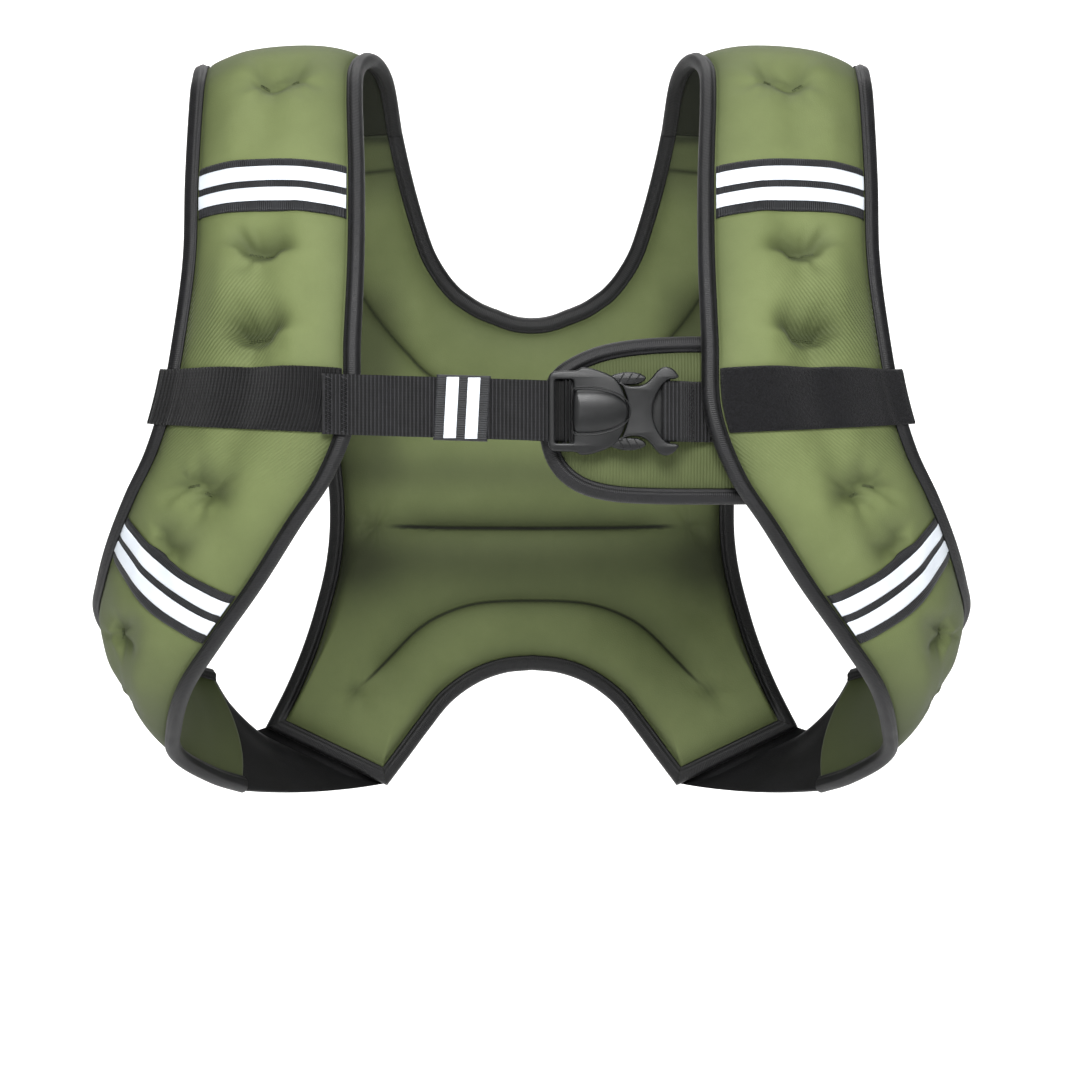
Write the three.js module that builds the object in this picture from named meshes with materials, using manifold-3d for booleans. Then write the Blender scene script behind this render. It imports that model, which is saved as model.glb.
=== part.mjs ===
import * as THREE from "three";
import { mergeVertices } from "three/addons/utils/BufferGeometryUtils.js";
import Module from "manifold-3d";

// A weighted vest. Lengths are millimetres, +Z is up and the front of the vest faces -Y.
// The origin lies midway between the two shoulder crests, at the underside of the pads.

const GAP = 0.3;
const HALF_SPAN = 245;
const FRONT_REACH = 135;
const BACK_REACH = 110;
const DROP = 407;
const STRAP_WIDTH = 110;
const FLANGE_THICK = 5;
const FLANGE_WIDE = 8;
const PUFF_OUT = 12;
const PUFF_IN = 8;
const PUFF_EDGE = 0.62;
const END_BOW = 7;
const BINDING_FACE = 8.6;
const BINDING_THICK = 1.2;
const BACK_WRAP = 8;
const BACK_PUFF_IN = 10;
const BACK_PUFF_OUT = 5;
const CREASE_REACH = 13;
const TAPE_WIDE = 28.4;
const TAPE_THICK = 1;
const TAPE_PINCH = 0.2;
const STRIPE_THICK = 1;
const LAY = 0.4;
const WEBBING_WIDE = 32.5;
const WEBBING_THICK = 1.6;
const BAND_PAST_EDGE = 3.5;
const SIDE_THICK = 3;
const SIDE_TUCK = 7;
const SIDE_BELOW = 6;
const CHEST_ROW = 7.9;
const CHEST_SAG = 4;
const WEBBING_LAP = 18;
const FOLD_BACK = 22;
const BUCKLE_LONG = 72;
const BUCKLE_WIDE = 47;
const BUCKLE_DEEP = 10;
const BUCKLE_PLACE = 0.465;
const DOME_HIGH = 3.4;
const BAR_THICK = 2.4;
const CHEST_TAPE_WIDE = 29;
const CHEST_TAPE_PLACE = 0.578;
const TONGUE_LONG = 97;
const TONGUE_HIGH = 88;
const TONGUE_THICK = 5;
const TONGUE_PUFF = 2.6;
const TONGUE_ROOM = 1.5;
const TUCK_ROOM = 2;

// One row for each section of the strap, from the back seam over the shoulder to the strap's end.
// x, y, z and wide are shares of the named sizes; turn and drop are degrees; puff is a share of the puff.
const STRAP = [
  { at: "seam", x: 0.536, y: 0.427, z: -0.057, turn: -3, drop: 3, wide: 0.996, puff: 0 },
  { at: "rear", x: 0.549, y: 0.209, z: 0.010, turn: -1, drop: 3, wide: 0.974, puff: 0.7 },
  { at: "crest", x: 0.568, y: 0.000, z: 0.029, turn: 0, drop: 4, wide: 0.925, puff: 0.75 },
  { at: "fore", x: 0.582, y: -0.163, z: 0.011, turn: 2, drop: 4, wide: 0.867, puff: 0.9 },
  { at: "upper", x: 0.584, y: -0.296, z: -0.029, turn: 7, drop: 2, wide: 0.870, puff: 0.9 },
  { at: "band", x: 0.579, y: -0.526, z: -0.147, turn: 13, drop: 0, wide: 0.913, puff: 0.8 },
  { at: "breast", x: 0.576, y: -0.704, z: -0.256, turn: 17, drop: -1, wide: 0.932, puff: 1 },
  { at: "above", x: 0.587, y: -0.822, z: -0.364, turn: 19, drop: -2, wide: 0.973, puff: 1 },
  { at: "chest", x: 0.602, y: -0.856, z: -0.452, turn: 20, drop: -4, wide: 1.026, puff: 0.85 },
  { at: "below", x: 0.647, y: -0.822, z: -0.529, turn: 23, drop: -7, wide: 1.020, puff: 1 },
  { at: "rib", x: 0.711, y: -0.744, z: -0.593, turn: 28, drop: -9, wide: 1.006, puff: 1 },
  { at: "slant", x: 0.778, y: -0.611, z: -0.663, turn: 35, drop: -13, wide: 0.991, puff: 0.9 },
  { at: "flank", x: 0.841, y: -0.441, z: -0.727, turn: 44, drop: -18, wide: 0.966, puff: 1 },
  { at: "side", x: 0.890, y: -0.244, z: -0.781, turn: 52, drop: -25, wide: 0.942, puff: 1 },
  { at: "turn", x: 0.898, y: -0.030, z: -0.828, turn: 58, drop: -34, wide: 0.877, puff: 0.9 },
  { at: "under", x: 0.869, y: 0.182, z: -0.864, turn: 65, drop: -44, wide: 0.776, puff: 0.7 },
  { at: "tail", x: 0.796, y: 0.373, z: -0.890, turn: 56, drop: -56, wide: 0.720, puff: 0.35 },
  { at: "end", x: 0.727, y: 0.536, z: -0.905, turn: 44, drop: -66, wide: 0.675, puff: 0 },
];

// Stitched tufts that dent the strap: place along it in rows of STRAP, place across it, depth and reach.
const TUFTS = [
  { row: 3.9, across: 0.5, deep: 6, reach: 13 },
  { row: 6.0, across: 0.55, deep: 8, reach: 15 },
  { row: 7.05, across: 0.52, deep: 10, reach: 16 },
  { row: 9.6, across: 0.58, deep: 10, reach: 16 },
  { row: 10.6, across: 0.56, deep: 10, reach: 16 },
  { row: 12.5, across: 0.62, deep: 8, reach: 15 },
  { row: 14.2, across: 0.5, deep: 6, reach: 15 },
];

// One row for each line across the back panel, from its neck edge to its outer edge.
// neckX, neckZ, outX, outZ are shares of HALF_SPAN and DROP. seam, stitch and arch are the places of the three
// quilting lines along the line, and the deep columns say how strongly each one pulls in there.
const BACK_ARM = [
  { neckX: 0.313, neckZ: -0.049, outX: 0.759, outZ: -0.064, seam: 0.40, seamDeep: 0, stitch: 0.62,
    stitchDeep: 0, arch: 0.85, archDeep: 0, puff: 0 },
  { neckX: 0.296, neckZ: -0.098, outX: 0.755, outZ: -0.128, seam: 0.40, seamDeep: 0, stitch: 0.62,
    stitchDeep: 0, arch: 0.85, archDeep: 0, puff: 0.2 },
  { neckX: 0.269, neckZ: -0.162, outX: 0.739, outZ: -0.216, seam: 0.41, seamDeep: 0.4, stitch: 0.62,
    stitchDeep: 0, arch: 0.85, archDeep: 0, puff: 1 },
  { neckX: 0.233, neckZ: -0.224, outX: 0.678, outZ: -0.305, seam: 0.42, seamDeep: 0.8, stitch: 0.62,
    stitchDeep: 0, arch: 0.85, archDeep: 0, puff: 1 },
  { neckX: 0.188, neckZ: -0.263, outX: 0.584, outZ: -0.393, seam: 0.42, seamDeep: 1, stitch: 0.66,
    stitchDeep: 0, arch: 0.86, archDeep: 0, puff: 1 },
  { neckX: 0.155, neckZ: -0.280, outX: 0.506, outZ: -0.482, seam: 0.39, seamDeep: 1, stitch: 0.68,
    stitchDeep: 0, arch: 0.87, archDeep: 0, puff: 1 },
  { neckX: 0.135, neckZ: -0.288, outX: 0.484, outZ: -0.577, seam: 0.32, seamDeep: 1, stitch: 0.70,
    stitchDeep: 0, arch: 0.88, archDeep: 0, puff: 1 },
  { neckX: 0.120, neckZ: -0.293, outX: 0.490, outZ: -0.658, seam: 0.26, seamDeep: 1, stitch: 0.70,
    stitchDeep: 0, arch: 0.90, archDeep: 0, puff: 1 },
  { neckX: 0.108, neckZ: -0.296, outX: 0.520, outZ: -0.737, seam: 0.22, seamDeep: 1, stitch: 0.68,
    stitchDeep: 0, arch: 0.92, archDeep: 0, puff: 1 },
  { neckX: 0.096, neckZ: -0.299, outX: 0.567, outZ: -0.820, seam: 0.185, seamDeep: 1, stitch: 0.60,
    stitchDeep: 0.2, arch: 0.93, archDeep: 0, puff: 1 },
  { neckX: 0.086, neckZ: -0.301, outX: 0.633, outZ: -0.902, seam: 0.16, seamDeep: 1, stitch: 0.513,
    stitchDeep: 0.6, arch: 0.90, archDeep: 0, puff: 1 },
];
const BACK_HEM = [
  BACK_ARM[10],
  { neckX: 0.061, neckZ: -0.307, outX: 0.351, outZ: -0.984, seam: 0.146, seamDeep: 1, stitch: 0.447,
    stitchDeep: 1, arch: 0.663, archDeep: 1, puff: 1 },
];
const BACK_ARCH = [
  BACK_HEM[1],
  { neckX: 0.045, neckZ: -0.310, outX: 0.278, outZ: -0.926, seam: 0.157, seamDeep: 1, stitch: 0.48,
    stitchDeep: 1, arch: 0.693, archDeep: 1, puff: 1 },
  { neckX: 0.029, neckZ: -0.312, outX: 0.200, outZ: -0.866, seam: 0.181, seamDeep: 1, stitch: 0.535,
    stitchDeep: 1, arch: 0.748, archDeep: 1, puff: 1 },
  { neckX: 0.014, neckZ: -0.313, outX: 0.102, outZ: -0.828, seam: 0.20, seamDeep: 1, stitch: 0.573,
    stitchDeep: 1, arch: 0.784, archDeep: 1, puff: 1 },
  { neckX: 0, neckZ: -0.3133, outX: 0, outZ: -0.818, seam: 0.207, seamDeep: 1, stitch: 0.586,
    stitchDeep: 1, arch: 0.80, archDeep: 1, puff: 1 },
];

// How far back the panel lies, as a share of BACK_REACH, at heights given as shares of DROP.
const BACK_DEPTH = [
  { z: 0.1, reach: 0.25 },
  { z: -0.055, reach: 0.47 },
  { z: -0.15, reach: 0.65 },
  { z: -0.32, reach: 0.86 },
  { z: -0.49, reach: 0.95 },
  { z: -0.74, reach: 0.93 },
  { z: -1, reach: 0.86 },
  { z: -1.2, reach: 0.8 },
];

// Across a tape: where its facets and the reflective stripes begin and end, as shares of the tape's width.
const TAPE_LINES = [0, 0.137, 0.437, 0.532, 0.831, 1];
const STRIPES = [
  { tag: "a", from: 0.137, to: 0.437 },
  { tag: "b", from: 0.532, to: 0.831 },
];
const TAPES = [
  { name: "tape_upper", stripe: "stripe_upper", inner: 5.13, outer: 5.13 },
  { name: "tape_lower", stripe: "stripe_lower", inner: 11.85, outer: 11.08 },
];

// The outline of the tongue behind the buckle, from its upper right corner round its blunt end, as shares of
// TONGUE_LONG to the right of the blunt end and of TONGUE_HIGH above its middle.
const TONGUE = [
  { x: 0.99, z: 0.50 }, { x: 0.75, z: 0.497 }, { x: 0.50, z: 0.475 }, { x: 0.32, z: 0.435 },
  { x: 0.18, z: 0.37 }, { x: 0.08, z: 0.29 }, { x: 0.02, z: 0.17 }, { x: 0, z: 0.03 },
  { x: 0.01, z: -0.12 }, { x: 0.05, z: -0.26 }, { x: 0.13, z: -0.37 }, { x: 0.25, z: -0.445 },
  { x: 0.42, z: -0.485 }, { x: 0.65, z: -0.498 }, { x: 0.90, z: -0.50 }, { x: 1.21, z: -0.50 },
];

// Half outlines of the two buckle pieces, above their middle, as shares of BUCKLE_LONG and BUCKLE_WIDE.
const PRONG_BASE = [
  { x: -0.478, z: 0 }, { x: -0.478, z: 0.42 }, { x: -0.455, z: 0.46 }, { x: -0.34, z: 0.475 },
  { x: -0.215, z: 0.50 }, { x: -0.10, z: 0.47 }, { x: 0.035, z: 0.375 }, { x: 0.035, z: 0 },
];
const PRONG_ARM = [
  { x: 0.0, z: 0.30 }, { x: 0.0, z: 0.39 }, { x: 0.06, z: 0.455 }, { x: 0.085, z: 0.44 },
  { x: 0.11, z: 0.475 }, { x: 0.135, z: 0.455 }, { x: 0.16, z: 0.48 }, { x: 0.185, z: 0.455 },
  { x: 0.21, z: 0.47 }, { x: 0.235, z: 0.44 }, { x: 0.26, z: 0.42 }, { x: 0.275, z: 0.375 },
  { x: 0.20, z: 0.325 }, { x: 0.10, z: 0.31 },
];
const RECEPTACLE = [
  { x: 0.125, z: 0 }, { x: 0.125, z: 0.25 }, { x: 0.16, z: 0.245 }, { x: 0.21, z: 0.26 },
  { x: 0.27, z: 0.33 }, { x: 0.33, z: 0.43 }, { x: 0.40, z: 0.495 }, { x: 0.45, z: 0.49 },
  { x: 0.495, z: 0.42 }, { x: 0.49, z: 0.375 }, { x: 0.41, z: 0.37 }, { x: 0.355, z: 0.29 },
  { x: 0.315, z: 0.18 }, { x: 0.30, z: 0 },
];

const COLOURS = {
  neoprene: { color: 0x6f7f47, roughness: 0.72, metalness: 0 },
  binding: { color: 0x2a2c2b, roughness: 0.6, metalness: 0 },
  stretch: { color: 0x17181a, roughness: 0.8, metalness: 0 },
  webbing: { color: 0x26282a, roughness: 0.75, metalness: 0 },
  fuzz: { color: 0x1b1c1e, roughness: 0.95, metalness: 0 },
  tape: { color: 0x202223, roughness: 0.65, metalness: 0 },
  reflective: { color: 0xeaf1f6, roughness: 0.4, metalness: 0 },
  plastic: { color: 0x232528, roughness: 0.35, metalness: 0 },
};

const wasm = await Module();
wasm.setup();
const vest = new THREE.Group();
vest.name = "weighted_vest";

function add(name, geometry, look) {
  const material = new THREE.MeshStandardMaterial(COLOURS[look]);
  material.name = look;
  const mesh = new THREE.Mesh(geometry, material);
  mesh.name = name;
  vest.add(mesh);
}

function vec(x, y, z) {
  return new THREE.Vector3(x, y, z);
}

function mix(a, b, f) {
  return a.clone().lerp(b, f);
}

// A smooth curve through one column of a table, at a place given in rows.
function column(table, key, place) {
  const last = table.length - 1;
  const i = Math.min(Math.max(Math.floor(place), 0), last - 1);
  const f = place - i;
  const b = table[i][key];
  const c = table[i + 1][key];
  const a = i > 0 ? table[i - 1][key] : 2 * b - c;
  const d = i + 2 <= last ? table[i + 2][key] : 2 * c - b;
  const bend = (2 * a - 5 * b + 4 * c - d) * f * f + (3 * b - a - 3 * c + d) * f * f * f;
  return 0.5 * (2 * b + (c - a) * f + bend);
}

// A closed solid from triangles, turned so that its faces look outwards.
function solid(points, triangles) {
  let volume = 0;
  for (const [a, b, c] of triangles) {
    volume += points[a].dot(points[b].clone().cross(points[c]));
  }
  const index = triangles.flatMap(([a, b, c]) => (volume > 0 ? [a, b, c] : [a, c, b]));
  const geometry = new THREE.BufferGeometry();
  geometry.setAttribute("position", new THREE.Float32BufferAttribute(points.flatMap((p) => p.toArray()), 3));
  geometry.setIndex(index);
  geometry.computeVertexNormals();
  return geometry;
}

// A sheet with thickness between two grids of points that match.
function slab(top, bottom) {
  const rows = top.length;
  const cols = top[0].length;
  const points = [...top.flat(), ...bottom.flat()];
  const lower = rows * cols;
  const triangles = [];
  const quad = (a, b, c, d) => triangles.push([a, b, c], [a, c, d]);
  for (let i = 0; i < rows - 1; i += 1) {
    for (let j = 0; j < cols - 1; j += 1) {
      const p = i * cols + j;
      quad(p, p + 1, p + cols + 1, p + cols);
      quad(lower + p, lower + p + cols, lower + p + cols + 1, lower + p + 1);
    }
  }
  for (let i = 0; i < rows - 1; i += 1) {
    const near = i * cols;
    const far = near + cols - 1;
    quad(near, near + cols, lower + near + cols, lower + near);
    quad(far + cols, far, lower + far, lower + far + cols);
  }
  for (let j = 0; j < cols - 1; j += 1) {
    const far = (rows - 1) * cols + j;
    quad(j + 1, j, lower + j, lower + j + 1);
    quad(far, far + 1, lower + far + 1, lower + far);
  }
  return solid(points, triangles);
}

// A solid swept through frames. Each frame has an edge point, a direction into the cloth and a normal.
// lead says which way the facets are split, so that they follow the facets of the cloth inside.
function sweep(frames, profile, lead) {
  const around = profile.length;
  const points = frames.flatMap(({ edge, into, normal }) =>
    profile.map(([a, n]) => edge.clone().addScaledVector(into, a).addScaledVector(normal, n)),
  );
  const triangles = [];
  for (let i = 0; i < frames.length - 1; i += 1) {
    for (let j = 0; j < around; j += 1) {
      const a = i * around + j;
      const b = i * around + ((j + 1) % around);
      const rising = profile[(j + 1) % around][0] >= profile[j][0];
      if (rising === lead > 0) {
        triangles.push([a, b, b + around], [a, b + around, a + around]);
      } else {
        triangles.push([a, b, a + around], [b, b + around, a + around]);
      }
    }
  }
  const cap = THREE.ShapeUtils.triangulateShape(profile.map(([a, n]) => new THREE.Vector2(a, n)), []);
  const end = (frames.length - 1) * around;
  const turned = THREE.ShapeUtils.isClockWise(profile.map(([a, n]) => new THREE.Vector2(a, n)));
  for (const [a, b, c] of cap) {
    triangles.push(turned ? [a, b, c] : [a, c, b]);
    triangles.push(turned ? [end + a, end + c, end + b] : [end + a, end + b, end + c]);
  }
  return solid(points, triangles);
}

// The folded tape round an edge, as a channel that keeps clear of the cloth inside it.
function channel(clothThick) {
  const inside = clothThick / 2 + GAP;
  const outside = inside + BINDING_THICK;
  const back = -GAP - BINDING_THICK;
  const lip = back + BINDING_FACE;
  return [
    [lip, inside], [lip, outside], [back, outside], [back, -outside],
    [lip, -outside], [lip, -inside], [-GAP, -inside], [-GAP, inside],
  ];
}
const BINDING_TOP = GAP + BINDING_THICK;

function mirrored(geometry, side) {
  if (side > 0) {
    return geometry;
  }
  const points = [];
  const position = geometry.getAttribute("position");
  for (let i = 0; i < position.count; i += 1) {
    points.push(vec(-position.getX(i), position.getY(i), position.getZ(i)));
  }
  const triangles = [];
  for (let i = 0; i < geometry.index.count; i += 3) {
    triangles.push([geometry.index.getX(i), geometry.index.getX(i + 1), geometry.index.getX(i + 2)]);
  }
  return solid(points, triangles);
}
const SIDES = [
  { tag: "left", side: -1 },
  { tag: "right", side: 1 },
];

// The strap

function reach(share) {
  return share * (share < 0 ? FRONT_REACH : BACK_REACH);
}

function strapCentre(row) {
  return vec(
    column(STRAP, "x", row) * HALF_SPAN,
    reach(column(STRAP, "y", row)),
    column(STRAP, "z", row) * DROP,
  );
}

function strapAcross(row) {
  const turn = THREE.MathUtils.degToRad(column(STRAP, "turn", row));
  const drop = THREE.MathUtils.degToRad(column(STRAP, "drop", row));
  return vec(Math.cos(turn) * Math.cos(drop), Math.sin(turn) * Math.cos(drop), -Math.sin(drop));
}

function strapFrame(row) {
  const last = STRAP.length - 1;
  const before = strapCentre(Math.max(row - 0.1, 0));
  const after = strapCentre(Math.min(row + 0.1, last));
  const pace = after.distanceTo(before) / (Math.min(row + 0.1, last) - Math.max(row - 0.1, 0));
  const along = after.sub(before).normalize();
  const across = strapAcross(row);
  const normal = along.clone().cross(across).normalize();
  const wide = column(STRAP, "wide", row) * STRAP_WIDTH;
  const bow = END_BOW * THREE.MathUtils.smoothstep(row, last - 3, last);
  return { row, centre: strapCentre(row), along, across, normal, wide, pace, bow };
}

// The share of the way from one flange of the strap to the other.
function betweenFlanges(frame, share) {
  const flange = FLANGE_WIDE / frame.wide;
  return THREE.MathUtils.clamp((share - flange) / (1 - 2 * flange), 0, 1);
}

function strapPoint(frame, share) {
  const inner = betweenFlanges(frame, share);
  return frame.centre.clone()
    .addScaledVector(frame.across, (share - 0.5) * frame.wide)
    .addScaledVector(frame.along, 4 * inner * (1 - inner) * frame.bow);
}

function strapPuff(frame, share) {
  const arch = Math.sin(Math.PI * betweenFlanges(frame, share)) ** PUFF_EDGE;
  let dent = 0;
  for (const tuft of TUFTS) {
    const far = Math.hypot((frame.row - tuft.row) * frame.pace, (share - tuft.across) * frame.wide);
    dent += tuft.deep * Math.exp(-((far / tuft.reach) ** 2));
  }
  const puff = Math.max(column(STRAP, "puff", frame.row), 0);
  const dented = Math.max(PUFF_OUT * arch - dent, 0) * puff;
  return { out: dented, in: PUFF_IN * arch * puff };
}

const STRAP_COLUMNS = 8;
function strapShares(frame) {
  const flange = FLANGE_WIDE / frame.wide;
  const shares = [0];
  for (let j = 0; j <= STRAP_COLUMNS - 2; j += 1) {
    shares.push(flange + ((1 - 2 * flange) * j) / (STRAP_COLUMNS - 2));
  }
  shares.push(1);
  return shares;
}

// Rings of the strap: two to a row of the table, and four to a row where the end twists.
const RINGS = [];
const TWIST_ROW = STRAP.length - 3;
for (let row = 0; row <= STRAP.length - 1; row += row < TWIST_ROW + 1 ? 0.5 : 0.25) {
  RINGS.push(strapFrame(row));
}

function padFace(frame, lift) {
  return strapShares(frame).map((share) => {
    const puff = strapPuff(frame, share);
    const high = FLANGE_THICK / 2 + (lift > 0 ? puff.out : puff.in);
    return strapPoint(frame, share).addScaledVector(frame.normal, lift * high);
  });
}
const PAD_TOP = RINGS.map((frame) => padFace(frame, 1));
const PAD_UNDER = RINGS.map((frame) => padFace(frame, -1));

function strapEdge(share) {
  const into = share === 0 ? 1 : -1;
  return RINGS.map((frame) => ({
    edge: strapPoint(frame, share),
    into: frame.across.clone().multiplyScalar(into),
    normal: frame.normal,
  }));
}

const pad = slab(PAD_TOP, PAD_UNDER);
const innerBinding = sweep(strapEdge(0), channel(FLANGE_THICK), 1);
const outerBinding = sweep(strapEdge(1), channel(FLANGE_THICK), -1);
for (const { tag, side } of SIDES) {
  add(`shoulder_pad_${tag}`, mirrored(pad, side), "neoprene");
  add(`binding_inner_${tag}`, mirrored(innerBinding, side), "binding");
  add(`binding_outer_${tag}`, mirrored(outerBinding, side), "binding");
}

// A point above the pad's front, at a row of the table and a column of the pad. Past the last column it
// runs on along the strap's width by that many millimetres.
function overPad(row, col, lift, past = 0) {
  const place = row * 2;
  const i = Math.min(Math.max(Math.floor(place), 0), RINGS.length - 2);
  const f = place - i;
  const base = mix(PAD_TOP[i][col], PAD_TOP[i + 1][col], f);
  const normal = mix(RINGS[i].normal, RINGS[i + 1].normal, f).normalize();
  const across = mix(RINGS[i].across, RINGS[i + 1].across, f).normalize();
  return base.addScaledVector(normal, lift).addScaledVector(across, past);
}

function pace(row) {
  return strapFrame(row).pace;
}

// A strip laid across the pad from one column to another, between two lines along its own width.
function strip({ inner, outer, from, to, wide, lines, lift, thick, over }) {
  const grid = (high) => lines.map((line) => {
    const points = [];
    for (let col = from; col <= to; col += 1) {
      const middle = inner + ((outer - inner) * col) / STRAP_COLUMNS;
      const row = middle + ((line - 0.5) * wide) / pace(middle);
      const edge = over && col >= STRAP_COLUMNS - 1;
      points.push(overPad(row, col, high + (edge ? BINDING_TOP : 0)));
      if (over && col === STRAP_COLUMNS) {
        points.push(overPad(row, col, high + BINDING_TOP, BAND_PAST_EDGE));
      }
    }
    return points;
  });
  return slab(grid(lift + thick), grid(lift));
}

for (const { name, stripe, inner, outer } of TAPES) {
  const place = { inner, outer, from: 1, to: STRAP_COLUMNS - 1, wide: TAPE_WIDE };
  const tape = strip({ ...place, lines: TAPE_LINES, lift: GAP + LAY, thick: TAPE_THICK });
  for (const { tag, side } of SIDES) {
    add(`${name}_${tag}`, mirrored(tape, side), "tape");
  }
  for (const { tag: letter, from, to } of STRIPES) {
    const high = GAP + LAY + TAPE_THICK + GAP;
    const line = strip({ ...place, lines: [from, to], lift: high, thick: STRIPE_THICK });
    for (const { tag, side } of SIDES) {
      add(`${stripe}_${letter}_${tag}`, mirrored(line, side), "reflective");
    }
  }
}

const BAND_LINES = [0, 0.2, 0.4, 0.6, 0.8, 1];
const band = strip({
  inner: 7.87, outer: 8, from: 1, to: STRAP_COLUMNS, wide: WEBBING_WIDE,
  lines: BAND_LINES, lift: GAP + LAY, thick: WEBBING_THICK, over: true,
});
add("loop_band_left", mirrored(band, -1), "webbing");
add("fuzzy_band_right", band, "fuzz");

// The back panel

function backDepth(x, z) {
  const share = z / DROP;
  let row = 0;
  while (row < BACK_DEPTH.length - 2 && share < BACK_DEPTH[row + 1].z) {
    row += 1;
  }
  const place = row + (share - BACK_DEPTH[row].z) / (BACK_DEPTH[row + 1].z - BACK_DEPTH[row].z);
  const wrap = BACK_WRAP * (x / (0.64 * HALF_SPAN)) ** 2;
  return column(BACK_DEPTH, "reach", place) * BACK_REACH - wrap;
}

function backPoint(x, z) {
  return vec(x, backDepth(x, z), z);
}

function backNormal(x, z) {
  const right = backPoint(x + 2, z).sub(backPoint(x - 2, z));
  const up = backPoint(x, z + 2).sub(backPoint(x, z - 2));
  return up.cross(right).normalize();
}

// Lines across half of the panel, from the shoulder seam to the middle of the arch.
const BACK_LINES = [];
function backLines(table, count) {
  for (let i = BACK_LINES.length > 0 ? 1 : 0; i <= count; i += 1) {
    const place = (i / count) * (table.length - 1);
    const line = {};
    for (const key of Object.keys(table[0])) {
      line[key] = column(table, key, place);
    }
    line.corner = i === count && table !== BACK_ARCH;
    BACK_LINES.push(line);
  }
}
const ARM_LINES = 14;
const HEM_LINES = 3;
const ARCH_LINES = 6;
backLines(BACK_ARM, ARM_LINES);
backLines(BACK_HEM, HEM_LINES);
backLines(BACK_ARCH, ARCH_LINES);

const SEAM = RINGS[0];
const SEAM_FADE = 3;
function flat(line, key) {
  return new THREE.Vector2(line[`${key}X`] * HALF_SPAN, line[`${key}Z`] * DROP);
}

// The direction into the cloth at an edge point, in the x and z plane. At a corner it is the mitre.
function edgeInto(i, key) {
  const here = flat(BACK_LINES[i], key);
  const last = BACK_LINES.length - 1;
  const before = i > 0 ? flat(BACK_LINES[i - 1], key) : here;
  const after = i < last ? flat(BACK_LINES[i + 1], key) : here;
  if (i === last) {
    return new THREE.Vector2(0, key === "neck" ? -1 : 1);
  }
  const sign = key === "neck" ? 1 : -1;
  const inward = (p, q) => {
    const d = q.clone().sub(p).normalize();
    return new THREE.Vector2(-d.y, d.x).multiplyScalar(sign);
  };
  if (i === 0) {
    return inward(here, after);
  }
  const one = inward(before, here);
  const two = inward(here, after);
  const sum = one.clone().add(two).normalize();
  return sum.multiplyScalar(1 / sum.dot(two));
}

function backEdge(i, key) {
  const at = flat(BACK_LINES[i], key);
  const way = edgeInto(i, key);
  const normal = backNormal(at.x, at.y);
  const edge = backPoint(at.x, at.y);
  const slope = backPoint(at.x + way.x, at.y + way.y).sub(edge);
  const into = slope.addScaledVector(normal, -slope.dot(normal)).setLength(way.length());
  const seamEdge = strapPoint(SEAM, key === "neck" ? 0 : 1).addScaledVector(SEAM.along, -GAP);
  const seamInto = SEAM.across.clone().multiplyScalar(key === "neck" ? 1 : -1);
  const first = flat(BACK_LINES[0], key);
  const shift = seamEdge.sub(backPoint(first.x, first.y));
  const fade = Math.max(1 - i / SEAM_FADE, 0);
  const facing = SEAM.normal.clone();
  return {
    edge: edge.addScaledVector(shift, fade),
    into: mix(into, seamInto, fade).setLength(way.length() * (1 - fade) + fade),
    normal: mix(normal, facing, fade).normalize(),
    corner: BACK_LINES[i].corner && key === "out",
  };
}
const NECK_EDGE = BACK_LINES.map((line, i) => backEdge(i, "neck"));
const OUT_EDGE = BACK_LINES.map((line, i) => backEdge(i, "out"));

// The places along a line: the flanges, the quilting lines and points between them.
function backPlaces(line) {
  const { seam, stitch, arch } = line;
  const third = (stitch - seam) / 3;
  return [
    0, seam * 0.5, seam, seam + third, seam + 2 * third, stitch,
    (stitch + arch) / 2, arch, (arch + 1) / 2, 1,
  ];
}

function backGrid(i, lift) {
  const line = BACK_LINES[i];
  const neck = NECK_EDGE[i];
  const out = OUT_EDGE[i];
  const from = neck.edge.clone().addScaledVector(neck.into, FLANGE_WIDE);
  const to = out.edge.clone().addScaledVector(out.into, FLANGE_WIDE);
  const long = from.distanceTo(to);
  const fade = Math.max(1 - i / SEAM_FADE, 0);
  const rise = (place) => {
    const open = Math.min(place, 1 - place) * long;
    let puff = 1 - Math.exp(-open / CREASE_REACH);
    for (const key of ["seam", "stitch", "arch"]) {
      const far = (place - line[key]) * long;
      puff *= 1 - line[`${key}Deep`] * Math.exp(-((far / CREASE_REACH) ** 2));
    }
    return puff * line.puff;
  };
  const middle = backPlaces(line).map((place) => {
    const at = mix(from, to, place);
    const bottom = mix(neck.normal, out.normal, place).normalize();
    const straight = backPoint(at.x, at.z);
    const bent = mix(straight, at, fade);
    if (place === 0 || place === 1) {
      bent.copy(at);
    }
    const normal = mix(backNormal(at.x, at.z), bottom, place === 0 || place === 1 ? 1 : fade).normalize();
    const high = FLANGE_THICK / 2 + rise(place) * (lift > 0 ? BACK_PUFF_OUT : BACK_PUFF_IN);
    return bent.addScaledVector(normal, lift * high);
  });
  const rim = ({ edge, normal }) => edge.clone().addScaledVector(normal, (lift * FLANGE_THICK) / 2);
  return [rim(neck), ...middle, rim(out)];
}

function bothHalves(half, flip) {
  return [...half, ...half.slice(0, -1).reverse().map(flip)];
}
const flipPoint = (p) => vec(-p.x, p.y, p.z);
const flipRow = (row) => row.map(flipPoint);
const halfBack = BACK_LINES.map((line, i) => backGrid(i, 1));
const halfFront = BACK_LINES.map((line, i) => backGrid(i, -1));
add("back_panel", slab(bothHalves(halfBack, flipRow), bothHalves(halfFront, flipRow)), "neoprene");

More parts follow.
